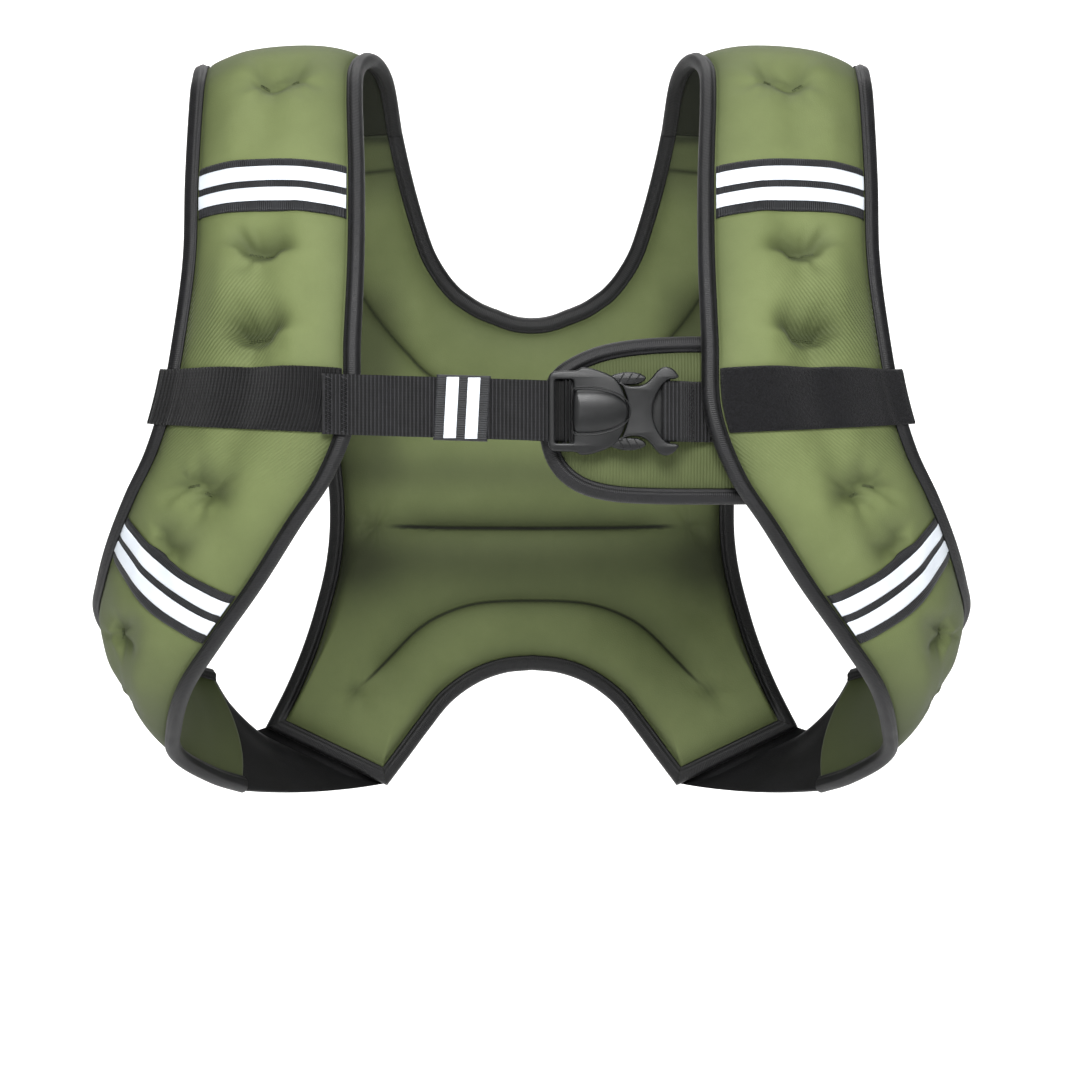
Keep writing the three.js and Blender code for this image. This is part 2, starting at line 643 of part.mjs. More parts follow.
const flipFrame = ({ edge, into, normal }) => ({
  edge: flipPoint(edge),
  into: flipPoint(into),
  normal: flipPoint(normal),
});
function shortened(frames, start, end) {
  const list = frames.map((frame) => ({ ...frame, edge: frame.edge.clone() }));
  const way = (from, to) => to.edge.clone().sub(from.edge).normalize();
  const first = way(frames[0], frames[1]);
  const last = way(frames[frames.length - 1], frames[frames.length - 2]);
  list[0].edge.addScaledVector(first, start);
  list[list.length - 1].edge.addScaledVector(last, end);
  return list;
}
const CHANNEL = channel(FLANGE_THICK);
const HEM_START = ARM_LINES;
const ARCH_START = ARM_LINES + HEM_LINES;
const armholeFrames = shortened(OUT_EDGE.slice(0, HEM_START + 1), 0, GAP);
const hemFrames = shortened(OUT_EDGE.slice(HEM_START, ARCH_START + 1), GAP, GAP);
const archHalf = shortened(OUT_EDGE.slice(ARCH_START), GAP, 0);
const otherHalf = (frames) => frames.map(flipFrame).reverse();
add("binding_neck", sweep(bothHalves(NECK_EDGE, flipFrame), CHANNEL, 1), "binding");
add("binding_arch", sweep(bothHalves(archHalf, flipFrame), CHANNEL, -1), "binding");
add("binding_armhole_right", sweep(armholeFrames, CHANNEL, -1), "binding");
add("binding_armhole_left", sweep(otherHalf(armholeFrames), CHANNEL, -1), "binding");
add("binding_hem_right", sweep(hemFrames, CHANNEL, -1), "binding");
add("binding_hem_left", sweep(otherHalf(hemFrames), CHANNEL, -1), "binding");

// The side panels, from the strap's end to behind the back panel's hem

const STRAP_END = RINGS[RINGS.length - 1];
const SIDE_ROWS = [0, 0.25, 0.5, 0.75, 1];
const SIDE_COLUMNS = 6;
const SIDE_DIP_TOP = 4;
const SIDE_DIP_LOW = 3;

function hemPoint(share) {
  const list = OUT_EDGE.slice(HEM_START, ARCH_START + 1);
  const place = share * (list.length - 1);
  const i = Math.min(Math.floor(place), list.length - 2);
  return {
    edge: mix(list[i].edge, list[i + 1].edge, place - i),
    into: mix(list[i].into, list[i + 1].into, place - i),
    normal: mix(list[i].normal, list[i + 1].normal, place - i).normalize(),
  };
}

// Share 1 is the top of the strap's end and the outer corner of the hem; share 0 is the bottom.
function sideRow(f) {
  const shares = strapShares(STRAP_END).filter((share, j) => j !== 1 && j !== STRAP_COLUMNS - 1);
  return shares.map((share) => {
    const from = strapPoint(STRAP_END, share).addScaledVector(STRAP_END.along, GAP);
    const hemAt = hemPoint(1 - share);
    const behind = FLANGE_THICK / 2 + BINDING_TOP + GAP + SIDE_THICK / 2;
    const to = hemAt.edge.addScaledVector(hemAt.normal, behind).addScaledVector(hemAt.into, -SIDE_BELOW);
    const dip = 4 * f * (1 - f) * (share * SIDE_DIP_TOP + (1 - share) * SIDE_DIP_LOW);
    const point = mix(from, to, f);
    point.z -= dip;
    const normal = mix(STRAP_END.normal, hemAt.normal, Math.min(f * 1.5, 1)).normalize();
    return { point, normal, into: hemAt.into };
  });
}
const sideGrid = (lift) => {
  const rows = SIDE_ROWS.map((f) =>
    sideRow(f).map(({ point, normal }) => point.addScaledVector(normal, (lift * SIDE_THICK) / 2)),
  );
  rows.push(sideRow(1).map(({ point, normal, into }) =>
    point.addScaledVector(normal, (lift * SIDE_THICK) / 2).addScaledVector(into, SIDE_BELOW + SIDE_TUCK),
  ));
  return rows;
};
const sidePanel = slab(sideGrid(1), sideGrid(-1));
for (const { tag, side } of SIDES) {
  add(`side_panel_${tag}`, mirrored(sidePanel, side), "stretch");
}

// The chest strap

const chestFrame = strapFrame(CHEST_ROW);
const chestEdge = strapPoint(chestFrame, 0);
const near = RINGS.filter(({ row }) => Math.abs(row - CHEST_ROW) <= 1);
const bindingFront = near.map((frame) =>
  strapPoint(frame, 0)
    .addScaledVector(frame.across, -BINDING_TOP)
    .addScaledVector(frame.normal, FLANGE_THICK / 2 + BINDING_TOP),
);
const bandFront = [1, 2].flatMap((col) =>
  near.map(({ row }) => overPad(row, col, GAP + LAY + WEBBING_THICK)),
);
const WEB_BACK = Math.min(...[...bindingFront, ...bandFront].map((p) => p.y)) - GAP;
const WEB_FRONT = WEB_BACK - WEBBING_THICK;
const EDGE_X = chestEdge.x;
const CHEST_Z = chestEdge.z;
const BUCKLE_Z = CHEST_Z - CHEST_SAG;
const BUCKLE_X = BUCKLE_PLACE * EDGE_X;

// A plan outline in x and y, drawn out along z.
function plan(points, holes, high) {
  const outline = (list) => list.map(([x, y]) => new THREE.Vector2(x, -y));
  const shape = new THREE.Shape(outline(points));
  for (const hole of holes) {
    const path = outline(hole);
    const same = THREE.ShapeUtils.isClockWise(path) === THREE.ShapeUtils.isClockWise(outline(points));
    shape.holes.push(new THREE.Path(same ? path.reverse() : path));
  }
  const geometry = new THREE.ExtrudeGeometry(shape, { depth: high, bevelEnabled: false });
  geometry.translate(0, 0, -high / 2);
  geometry.applyMatrix4(new THREE.Matrix4().makeScale(1, -1, 1));
  return clean(geometry);
}

function clean(geometry) {
  geometry.deleteAttribute("normal");
  geometry.deleteAttribute("uv");
  const merged = mergeVertices(geometry, 1e-4);
  const points = [];
  const position = merged.getAttribute("position");
  for (let i = 0; i < position.count; i += 1) {
    points.push(vec(position.getX(i), position.getY(i), position.getZ(i)));
  }
  const triangles = [];
  for (let i = 0; i < merged.index.count; i += 3) {
    triangles.push([merged.index.getX(i), merged.index.getX(i + 1), merged.index.getX(i + 2)]);
  }
  return solid(points, triangles);
}

const barLeft = BUCKLE_X - 0.36 * BUCKLE_LONG;
const barRight = BUCKLE_X + 0.41 * BUCKLE_LONG;
const BAR_WIDE = 0.04 * BUCKLE_LONG;
const BAR_FRONT = WEB_BACK + GAP;
const BAR_BACK = BAR_FRONT + BAR_THICK;
const LAYER = BAR_BACK + GAP;
const LAYER_BACK = LAYER + WEBBING_THICK;

// The long webbing runs flat from the pad, round the bar and back behind itself. Its tape sleeve presses it.
const webStart = -EDGE_X - WEBBING_LAP;
const turnLeft = barLeft + BAR_WIDE / 2 + GAP;
const turnOut = turnLeft + WEBBING_THICK;
const tapeMiddle = webStart + CHEST_TAPE_PLACE * (barLeft - webStart);
const tapeLeft = tapeMiddle - CHEST_TAPE_WIDE / 2;
const tapeRight = tapeMiddle + CHEST_TAPE_WIDE / 2;
const pinched = WEB_FRONT + TAPE_PINCH;
const longWeb = plan([
  [webStart, WEB_FRONT], [tapeLeft - GAP, WEB_FRONT], [tapeLeft, pinched], [tapeRight, pinched],
  [tapeRight + GAP, WEB_FRONT], [turnOut - 1, WEB_FRONT], [turnOut, WEB_FRONT + 1], [turnOut, LAYER_BACK - 1],
  [turnOut - 1, LAYER_BACK], [turnOut - FOLD_BACK, LAYER_BACK], [turnOut - FOLD_BACK, LAYER],
  [turnLeft, LAYER], [turnLeft, WEB_BACK], [webStart, WEB_BACK],
], [], WEBBING_WIDE);

// How far below the chest edge the strap's middle hangs.
function hang(x) {
  const f = THREE.MathUtils.clamp((x - webStart) / (barLeft - webStart), 0, 1);
  return CHEST_Z - CHEST_SAG * f;
}
function hung(geometry) {
  const position = geometry.getAttribute("position");
  for (let i = 0; i < position.count; i += 1) {
    position.setZ(i, position.getZ(i) + hang(position.getX(i)));
  }
  geometry.computeVertexNormals();
  return geometry;
}
add("chest_webbing_left", hung(longWeb), "webbing");

// A sleeve of reflective tape round the long webbing, and its two upright stripes.
const sleeveLook = { depth: CHEST_TAPE_WIDE, bevelEnabled: false };
function box(x, y, z, long, deep, high) {
  const geometry = new THREE.BoxGeometry(long, deep, high);
  geometry.translate(x, y, z);
  return clean(geometry);
}
function sleeve() {
  const half = WEBBING_WIDE / 2 + GAP;
  const rim = half + TAPE_THICK;
  const middle = (WEB_FRONT + WEB_BACK) / 2;
  const deep = WEBBING_THICK / 2 + GAP;
  const loop = (a, b) => [[-a, -b], [a, -b], [a, b], [-a, b]].map(([z, y]) => new THREE.Vector2(y, z));
  const shape = new THREE.Shape(loop(rim, deep + TAPE_THICK));
  shape.holes.push(new THREE.Path(loop(half, deep).reverse()));
  const geometry = new THREE.ExtrudeGeometry(shape, sleeveLook);
  const turn = new THREE.Matrix4().makeBasis(vec(0, 1, 0), vec(0, 0, 1), vec(1, 0, 0));
  geometry.applyMatrix4(turn);
  geometry.translate(tapeLeft, middle, 0);
  return clean(geometry);
}
add("tape_chest", hung(sleeve()), "tape");
const sleeveFront = WEB_FRONT - GAP - TAPE_THICK;
for (const { tag, from, to } of STRIPES) {
  const stripeX = tapeMiddle + ((from + to) / 2 - 0.484) * CHEST_TAPE_WIDE;
  const stripeY = sleeveFront - GAP - STRIPE_THICK / 2;
  const wide = (to - from) * CHEST_TAPE_WIDE * 0.85;
  add(`stripe_chest_${tag}`, hung(box(stripeX, stripeY, 0, wide, STRIPE_THICK, WEBBING_WIDE)), "reflective");
}

// The short webbing: doubled round the bar, then behind the edge of the right strap.
const turnRight = barRight - BAR_WIDE / 2 - GAP;
const turnIn = turnRight - WEBBING_THICK;
const behindEdge = FLANGE_THICK / 2 + BINDING_TOP + GAP;
const tuck = (into, back) => {
  const p = chestEdge.clone()
    .addScaledVector(chestFrame.across, into)
    .addScaledVector(chestFrame.normal, -behindEdge - TUCK_ROOM - back);
  return [p.x, p.y];
};
const DOUBLE = 2 * WEBBING_THICK;
const joinX = barRight + 7;
const shortWeb = plan([
  [turnIn, WEB_FRONT + 1], [turnIn + 1, WEB_FRONT], [joinX, WEB_FRONT], tuck(-4, 0), tuck(8, 0),
  tuck(8, DOUBLE), tuck(-4, DOUBLE), [joinX, LAYER_BACK], [turnIn + 1, LAYER_BACK], [turnIn, LAYER_BACK - 1],
], [[
  [turnRight, WEB_BACK], [barRight + BAR_WIDE / 2 + GAP, WEB_BACK], [joinX - 2, (WEB_BACK + LAYER) / 2],
  [barRight + BAR_WIDE / 2 + GAP, LAYER], [turnRight, LAYER],
]], WEBBING_WIDE);
shortWeb.translate(0, 0, BUCKLE_Z);
add("chest_webbing_right", shortWeb, "webbing");

// The buckle

const BUCKLE_BACK = LAYER_BACK + 0.2;
const BUCKLE_FRONT = BUCKLE_BACK - BUCKLE_DEEP;
const PLATE = BUCKLE_DEEP - 1.2;

// A front outline in x and z, drawn out along y from its front face backwards.
function plate(points, front, deep) {
  const shape = new THREE.Shape(points.map(([x, z]) => new THREE.Vector2(x, z)));
  const geometry = new THREE.ExtrudeGeometry(shape, { depth: deep, bevelEnabled: false });
  geometry.applyMatrix4(new THREE.Matrix4().makeBasis(vec(1, 0, 0), vec(0, 0, 1), vec(0, -1, 0)));
  geometry.translate(0, front + deep, 0);
  return clean(geometry);
}
function buckleOutline(table) {
  const half = table.map(({ x, z }) => [x * BUCKLE_LONG + BUCKLE_X, z * BUCKLE_WIDE]);
  return [...half, ...half.slice(1, -1).reverse().map(([x, z]) => [x, -z])];
}
function body(geometry) {
  return new wasm.Manifold(new wasm.Mesh({
    numProp: 3,
    vertProperties: new Float32Array(geometry.getAttribute("position").array),
    triVerts: new Uint32Array(geometry.index.array),
  }));
}
function fromBody(manifold) {
  const mesh = manifold.getMesh();
  const geometry = new THREE.BufferGeometry();
  geometry.setAttribute("position", new THREE.Float32BufferAttribute(mesh.vertProperties, 3));
  geometry.setIndex(Array.from(mesh.triVerts));
  geometry.computeVertexNormals();
  return geometry;
}

const slotHigh = WEBBING_WIDE + 1.8;
const slotFrom = BUCKLE_X - 0.428 * BUCKLE_LONG;
const slotTo = turnOut + 1.6;
const middleY = (BUCKLE_FRONT + BUCKLE_BACK) / 2;
const slot = box((slotFrom + slotTo) / 2, middleY, 0, slotTo - slotFrom, BUCKLE_DEEP * 2, slotHigh);
const outerBarRoom = box(
  slotFrom - 5, WEB_FRONT - GAP + BUCKLE_DEEP, 0, 20, 2 * BUCKLE_DEEP, slotHigh,
);
const leftBar = box(barLeft, (BAR_FRONT + BAR_BACK) / 2, 0, BAR_WIDE, BAR_THICK, slotHigh + 4);
const dome = new THREE.SphereGeometry(1, 16, 8);
dome.scale(0.2 * BUCKLE_LONG, 1.4 * DOME_HIGH, 0.27 * BUCKLE_WIDE);
dome.translate(BUCKLE_X - 0.085 * BUCKLE_LONG, BUCKLE_FRONT + 1.2 + DOME_HIGH, 0);
const tongueBar = box(
  BUCKLE_X + 0.13 * BUCKLE_LONG, middleY, 0, 0.26 * BUCKLE_LONG, 3, 0.24 * BUCKLE_WIDE,
);
const armOutline = PRONG_ARM.map(({ x, z }) => [x * BUCKLE_LONG + BUCKLE_X, z * BUCKLE_WIDE]);
const armAbove = plate(armOutline, BUCKLE_FRONT + 1.6, PLATE - 1.6);
const armBelow = plate(armOutline.map(([x, z]) => [x, -z]), BUCKLE_FRONT + 1.6, PLATE - 1.6);
const prongs = body(plate(buckleOutline(PRONG_BASE), BUCKLE_FRONT + 1.2, PLATE))
  .subtract(body(slot))
  .subtract(body(outerBarRoom))
  .add(body(leftBar))
  .add(body(clean(dome)))
  .add(body(tongueBar))
  .add(body(armAbove))
  .add(body(armBelow));
const prongsPiece = fromBody(prongs);
prongsPiece.translate(0, 0, BUCKLE_Z);
add("buckle_prongs", prongsPiece, "plastic");

const mouth = box(
  BUCKLE_X + 0.19 * BUCKLE_LONG, middleY, 0, 0.16 * BUCKLE_LONG, 3 + 2 * GAP, 0.24 * BUCKLE_WIDE + 2 * GAP,
);
const rightBar = box(barRight, (BAR_FRONT + BAR_BACK) / 2, 0, BAR_WIDE, BAR_THICK, slotHigh + 4);
const roomFrom = turnIn - 1;
const webRoom = box(roomFrom + 15, middleY, 0, 30, BUCKLE_DEEP * 2, slotHigh);
const receptacle = body(plate(buckleOutline(RECEPTACLE), BUCKLE_FRONT + 1.2, PLATE))
  .subtract(body(mouth))
  .subtract(body(webRoom))
  .add(body(rightBar));
const receptaclePiece = fromBody(receptacle);
receptaclePiece.translate(0, 0, BUCKLE_Z);
add("buckle_receptacle", receptaclePiece, "plastic");

// The padded tongue behind the buckle. It is flat and leans back to pass behind the right strap.
const tongueEnd = tuck(8, DOUBLE + GAP + BINDING_TOP + TONGUE_ROOM);
const tongueX = EDGE_X + 8.4 - TONGUE_LONG;
const tongueFrontLeft = BUCKLE_BACK + GAP + TONGUE_PUFF;
const tongueLean = Math.atan2(tongueEnd[1] - tongueFrontLeft, tongueEnd[0] - tongueX);
const tongueZ = BUCKLE_Z - 0.05 * TONGUE_HIGH;
const tongueOutline = TONGUE.map(({ x, z }) => [x * TONGUE_LONG, z * TONGUE_HIGH]);
function leaned(geometry) {
  geometry.rotateZ(tongueLean);
  geometry.translate(tongueX, tongueFrontLeft + TONGUE_THICK / 2, tongueZ);
  return geometry;
}
const padOutline = TONGUE.map(({ x, z }) => [
  12 + x * (TONGUE_LONG - 20), z * (TONGUE_HIGH - 24),
]);
const shape = new THREE.Shape(padOutline.map(([x, z]) => new THREE.Vector2(x, z)));
const pillow = new THREE.ExtrudeGeometry(shape, {
  depth: TONGUE_THICK, bevelThickness: TONGUE_PUFF, bevelSize: 3, bevelOffset: 0, bevelSegments: 1,
});
pillow.applyMatrix4(new THREE.Matrix4().makeBasis(vec(1, 0, 0), vec(0, 0, 1), vec(0, -1, 0)));
pillow.translate(0, TONGUE_THICK / 2, 0);
const sheet = plate(tongueOutline, -TONGUE_THICK / 2, TONGUE_THICK);
add("buckle_pad", leaned(fromBody(body(sheet).add(body(clean(pillow))))), "neoprene");

const tongueFrames = tongueOutline.map(([x, z], i) => {
  const before = tongueOutline[Math.max(i - 1, 0)];
  const after = tongueOutline[Math.min(i + 1, tongueOutline.length - 1)];
  const one = new THREE.Vector2(x - before[0], z - before[1]).normalize();
  const two = new THREE.Vector2(after[0] - x, after[1] - z).normalize();
  const sum = one.clone().add(two).normalize();
  const size = 1 / Math.max(sum.dot(i === 0 ? two : one), 0.5);
  return {
    edge: vec(x, 0, z),
    into: vec(-sum.y * size, 0, sum.x * size),
    normal: vec(0, -1, 0),
  };
});
add("binding_buckle_pad", leaned(sweep(tongueFrames, channel(TONGUE_THICK), 1)), "binding");

export default vest;
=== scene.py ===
import math

import bmesh
import bpy
import numpy as np
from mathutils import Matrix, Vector


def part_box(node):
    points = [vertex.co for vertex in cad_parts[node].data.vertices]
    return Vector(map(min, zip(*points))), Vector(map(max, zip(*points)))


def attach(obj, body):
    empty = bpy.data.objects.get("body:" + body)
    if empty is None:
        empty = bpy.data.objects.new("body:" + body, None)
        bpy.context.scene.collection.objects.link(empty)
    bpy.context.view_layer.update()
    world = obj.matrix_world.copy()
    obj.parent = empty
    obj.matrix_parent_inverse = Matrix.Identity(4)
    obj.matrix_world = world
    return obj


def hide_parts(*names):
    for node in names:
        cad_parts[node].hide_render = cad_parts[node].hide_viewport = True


# A weighted vest, dressed over its solids. The sizes and tables are those of the part's source, in millimetres.
# Points are worked out in millimetres too, and meshes are made in metres.

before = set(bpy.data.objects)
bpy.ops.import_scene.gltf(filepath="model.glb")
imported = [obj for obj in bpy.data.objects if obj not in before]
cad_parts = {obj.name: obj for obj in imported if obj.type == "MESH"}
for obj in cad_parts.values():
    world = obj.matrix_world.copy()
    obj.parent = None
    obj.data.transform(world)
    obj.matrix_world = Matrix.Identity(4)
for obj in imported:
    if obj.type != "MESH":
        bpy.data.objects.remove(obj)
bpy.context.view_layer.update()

MM = 0.001
GAP = 0.3
HALF_SPAN = 245
FRONT_REACH = 135
BACK_REACH = 110
DROP = 407
STRAP_WIDTH = 110
FLANGE_THICK = 5
FLANGE_WIDE = 8
PUFF_OUT = 12
PUFF_IN = 8
PUFF_EDGE = 0.62
END_BOW = 7
BINDING_FACE = 8.6
BINDING_THICK = 1.2
BINDING_TOP = GAP + BINDING_THICK
BACK_WRAP = 8
BACK_PUFF_IN = 10
BACK_PUFF_OUT = 5
TAPE_WIDE = 28.4
WEBBING_WIDE = 32.5
WEBBING_THICK = 1.6
BAND_PAST_EDGE = 3.5
SIDE_THICK = 3
SIDE_TUCK = 7
SIDE_BELOW = 6
CHEST_ROW = 7.9
CHEST_SAG = 4
WEBBING_LAP = 18
FOLD_BACK = 22
BUCKLE_LONG = 72
BUCKLE_WIDE = 47
BUCKLE_DEEP = 10
BUCKLE_PLACE = 0.465
BAR_THICK = 2.4
CHEST_TAPE_WIDE = 29
CHEST_TAPE_PLACE = 0.578
TONGUE_LONG = 97
TONGUE_HIGH = 88
TONGUE_THICK = 5
TONGUE_PUFF = 2.6
TONGUE_ROOM = 1.5
TUCK_ROOM = 2


def table(keys, *rows):
    return {key: np.array([row[i] for row in rows], float) for i, key in enumerate(keys.split())}


STRAP = table(
    "x y z turn drop wide puff",
    (0.536, 0.427, -0.057, -3, 3, 0.996, 0),
    (0.549, 0.209, 0.010, -1, 3, 0.974, 0.7),
    (0.568, 0.000, 0.029, 0, 4, 0.925, 0.75),
    (0.582, -0.163, 0.011, 2, 4, 0.867, 0.9),
    (0.584, -0.296, -0.029, 7, 2, 0.870, 0.9),
    (0.579, -0.526, -0.147, 13, 0, 0.913, 0.8),
    (0.576, -0.704, -0.256, 17, -1, 0.932, 1),
    (0.587, -0.822, -0.364, 19, -2, 0.973, 1),
    (0.602, -0.856, -0.452, 20, -4, 1.026, 0.85),
    (0.647, -0.822, -0.529, 23, -7, 1.020, 1),
    (0.711, -0.744, -0.593, 28, -9, 1.006, 1),
    (0.778, -0.611, -0.663, 35, -13, 0.991, 0.9),
    (0.841, -0.441, -0.727, 44, -18, 0.966, 1),
    (0.890, -0.244, -0.781, 52, -25, 0.942, 1),
    (0.898, -0.030, -0.828, 58, -34, 0.877, 0.9),
    (0.869, 0.182, -0.864, 65, -44, 0.776, 0.7),
    (0.796, 0.373, -0.890, 56, -56, 0.720, 0.35),
    (0.727, 0.536, -0.905, 44, -66, 0.675, 0),
)
STRAP_LAST = 17

# Tufts: place along the strap in rows, place across it, depth, half length of the tack, its slope in degrees.
# The plain tuft is a hollow without a tack.
PLAIN_TUFT = 10.7
TUFTS = [
    (3.86, 0.37, 4, 2, -30),
    (3.9, 0.55, 4.5, 3, 30),
    (6.0, 0.55, 8.5, 7, 4),
    (7.05, 0.52, 11, 6, -8),
    (9.55, 0.64, 5, 2.5, -25),
    (9.68, 0.54, 6.5, 3, 20),
    (PLAIN_TUFT, 0.61, 5.5, 5, 35),
    (12.75, 0.62, 7, 4, 60),
    (14.2, 0.5, 2.2, 4, 60),
]

BACK_KEYS = "neckX neckZ outX outZ seam seamDeep stitch stitchDeep arch archDeep puff"
ARM_ROWS = [
    (0.313, -0.049, 0.759, -0.064, 0.40, 0, 0.62, 0, 0.85, 0, 0),
    (0.296, -0.098, 0.755, -0.128, 0.40, 0, 0.62, 0, 0.85, 0, 0.2),
    (0.269, -0.162, 0.739, -0.216, 0.41, 0.4, 0.62, 0, 0.85, 0, 1),
    (0.233, -0.224, 0.678, -0.305, 0.42, 0.8, 0.62, 0, 0.85, 0, 1),
    (0.188, -0.263, 0.584, -0.393, 0.42, 1, 0.66, 0, 0.86, 0, 1),
    (0.155, -0.280, 0.506, -0.482, 0.39, 1, 0.68, 0, 0.87, 0, 1),
    (0.135, -0.288, 0.484, -0.577, 0.32, 1, 0.70, 0, 0.88, 0, 1),
    (0.120, -0.293, 0.490, -0.658, 0.26, 1, 0.70, 0, 0.90, 0, 1),
    (0.108, -0.296, 0.520, -0.737, 0.22, 1, 0.68, 0, 0.92, 0, 1),
    (0.096, -0.299, 0.567, -0.820, 0.185, 1, 0.60, 0.2, 0.93, 0, 1),
    (0.086, -0.301, 0.633, -0.902, 0.16, 1, 0.513, 0.6, 0.90, 0, 1),
]
HEM_ROWS = [ARM_ROWS[-1], (0.061, -0.307, 0.351, -0.984, 0.146, 1, 0.447, 1, 0.663, 1, 1)]
ARCH_ROWS = [
    HEM_ROWS[-1],
    (0.045, -0.310, 0.278, -0.926, 0.157, 1, 0.48, 1, 0.693, 1, 1),
    (0.029, -0.312, 0.200, -0.866, 0.181, 1, 0.535, 1, 0.748, 1, 1),
    (0.014, -0.313, 0.102, -0.828, 0.20, 1, 0.573, 1, 0.784, 1, 1),
    (0, -0.3133, 0, -0.818, 0.207, 1, 0.586, 1, 0.80, 1, 1),
]
BACK_ARM = table(BACK_KEYS, *ARM_ROWS)
BACK_HEM = table(BACK_KEYS, *HEM_ROWS)
BACK_ARCH = table(BACK_KEYS, *ARCH_ROWS)
BACK_DEPTH = table(
    "z reach",
    (0.1, 0.25), (-0.055, 0.47), (-0.15, 0.65), (-0.32, 0.86),
    (-0.49, 0.95), (-0.74, 0.93), (-1, 0.86), (-1.2, 0.8),
)

TONGUE = np.array([
    (0.99, 0.50), (0.75, 0.497), (0.50, 0.475), (0.32, 0.435), (0.18, 0.37), (0.08, 0.29), (0.02, 0.17),
    (0, 0.03), (0.01, -0.12), (0.05, -0.26), (0.13, -0.37), (0.25, -0.445), (0.42, -0.485),
    (0.65, -0.498), (0.90, -0.50), (1.21, -0.50),
])


# Numbers

def column(rows, key, place):
    values = rows[key]
    last = len(values) - 1
    place = np.asarray(place, float)
    i = np.clip(np.floor(place), 0, last - 1).astype(int)
    f = place - i
    b = values[i]
    c = values[i + 1]
    a = np.where(i > 0, values[np.maximum(i - 1, 0)], 2 * b - c)
    d = np.where(i + 2 <= last, values[np.minimum(i + 2, last)], 2 * c - b)
    bend = (2 * a - 5 * b + 4 * c - d) * f**2 + (3 * b - a - 3 * c + d) * f**3
    return 0.5 * (2 * b + (c - a) * f + bend)


def unit(v):
    return v / np.maximum(np.linalg.norm(v, axis=-1, keepdims=True), 1e-12)


def smooth(x, a, b):
    t = np.clip((np.asarray(x, float) - a) / (b - a), 0, 1)
    return t * t * (3 - 2 * t)


def mix(a, b, f):
    return a + (b - a) * f


def way_of(degrees):
    return math.cos(math.radians(degrees)), math.sin(math.radians(degrees))


def stack(*parts):
    return np.stack(np.broadcast_arrays(*parts), axis=-1)


def bell(x, wide, power=2):
    return np.exp(-((x / wide) ** power))


def lengths(points):
    """How far along a line each of its points is."""
    return np.concatenate([[0], np.cumsum(np.linalg.norm(np.diff(points, axis=0), axis=-1))])


def ripple(u, v, seed, shortest, longest, count=9):
    """Soft unevenness of cloth: a few waves of chosen lengths, about -1 to 1."""
    rng = np.random.default_rng(seed)
    total = 0
    for _ in range(count):
        long = rng.uniform(shortest, longest)
        way = rng.uniform(0, math.pi)
        start = rng.uniform(0, 2 * math.pi)
        total = total + np.sin(2 * math.pi * (u * math.cos(way) + v * math.sin(way)) / long + start)
    return total / math.sqrt(count)


def lies(u, v, u0, v0, half, slope):
    """Distance to a short tack and the way round it."""
    du = u - u0
    dv = v - v0
    c, s = way_of(slope)
    along = du * c + dv * s
    side = -du * s + dv * c
    side = side - 0.16 * (np.minimum(np.abs(along), 1.6 * half)) ** 2 / half
    past = np.maximum(np.abs(along) - half, 0) * np.sign(along)
    return np.hypot(past, side), np.arctan2(side, along), side


# The strap

def strap_centre(row):
    y = column(STRAP, "y", row)
    return stack(
        column(STRAP, "x", row) * HALF_SPAN,
        y * np.where(y < 0, FRONT_REACH, BACK_REACH),
        column(STRAP, "z", row) * DROP,
    )


def strap_frame(rows):
    rows = np.atleast_1d(np.asarray(rows, float))
    before = np.maximum(rows - 0.1, 0)
    after = np.minimum(rows + 0.1, STRAP_LAST)
    step = strap_centre(after) - strap_centre(before)
    turn = np.radians(column(STRAP, "turn", rows))
    drop = np.radians(column(STRAP, "drop", rows))
    across = stack(np.cos(turn) * np.cos(drop), np.sin(turn) * np.cos(drop), -np.sin(drop))
    along = unit(step)
    return {
        "row": rows,
        "centre": strap_centre(rows),
        "along": along,
        "across": across,
        "normal": unit(np.cross(along, across)),
        "wide": column(STRAP, "wide", rows) * STRAP_WIDTH,
        "pace": np.linalg.norm(step, axis=-1) / (after - before),
        "bow": END_BOW * smooth(rows, STRAP_LAST - 3, STRAP_LAST),
        "puff": np.maximum(column(STRAP, "puff", rows), 0),
    }


FINE_ROWS = np.linspace(0, STRAP_LAST, 1701)
FINE_LONG = lengths(strap_centre(FINE_ROWS))


def long_at(rows):
    return np.interp(rows, FINE_ROWS, FINE_LONG)


def row_at(long):
    return np.interp(long, FINE_LONG, FINE_ROWS)


def between_flanges(fr, share):
    flange = FLANGE_WIDE / fr["wide"][:, None]
    return np.clip((share - flange) / (1 - 2 * flange), 0, 1)


def strap_point(fr, share):
    inner = between_flanges(fr, share)
    sideways = (share - 0.5) * fr["wide"][:, None]
    bow = 4 * inner * (1 - inner) * fr["bow"][:, None]
    return (
        fr["centre"][:, None]
        + fr["across"][:, None] * sideways[..., None]
        + fr["along"][:, None] * bow[..., None]
    )


# The rows of the tapes' middles at the strap's inner and outer edges, and of the band across it.
TAPE_ROWS = ((5.13, 5.13), (11.85, 11.08))
BAND_ROWS = (7.87, 8)


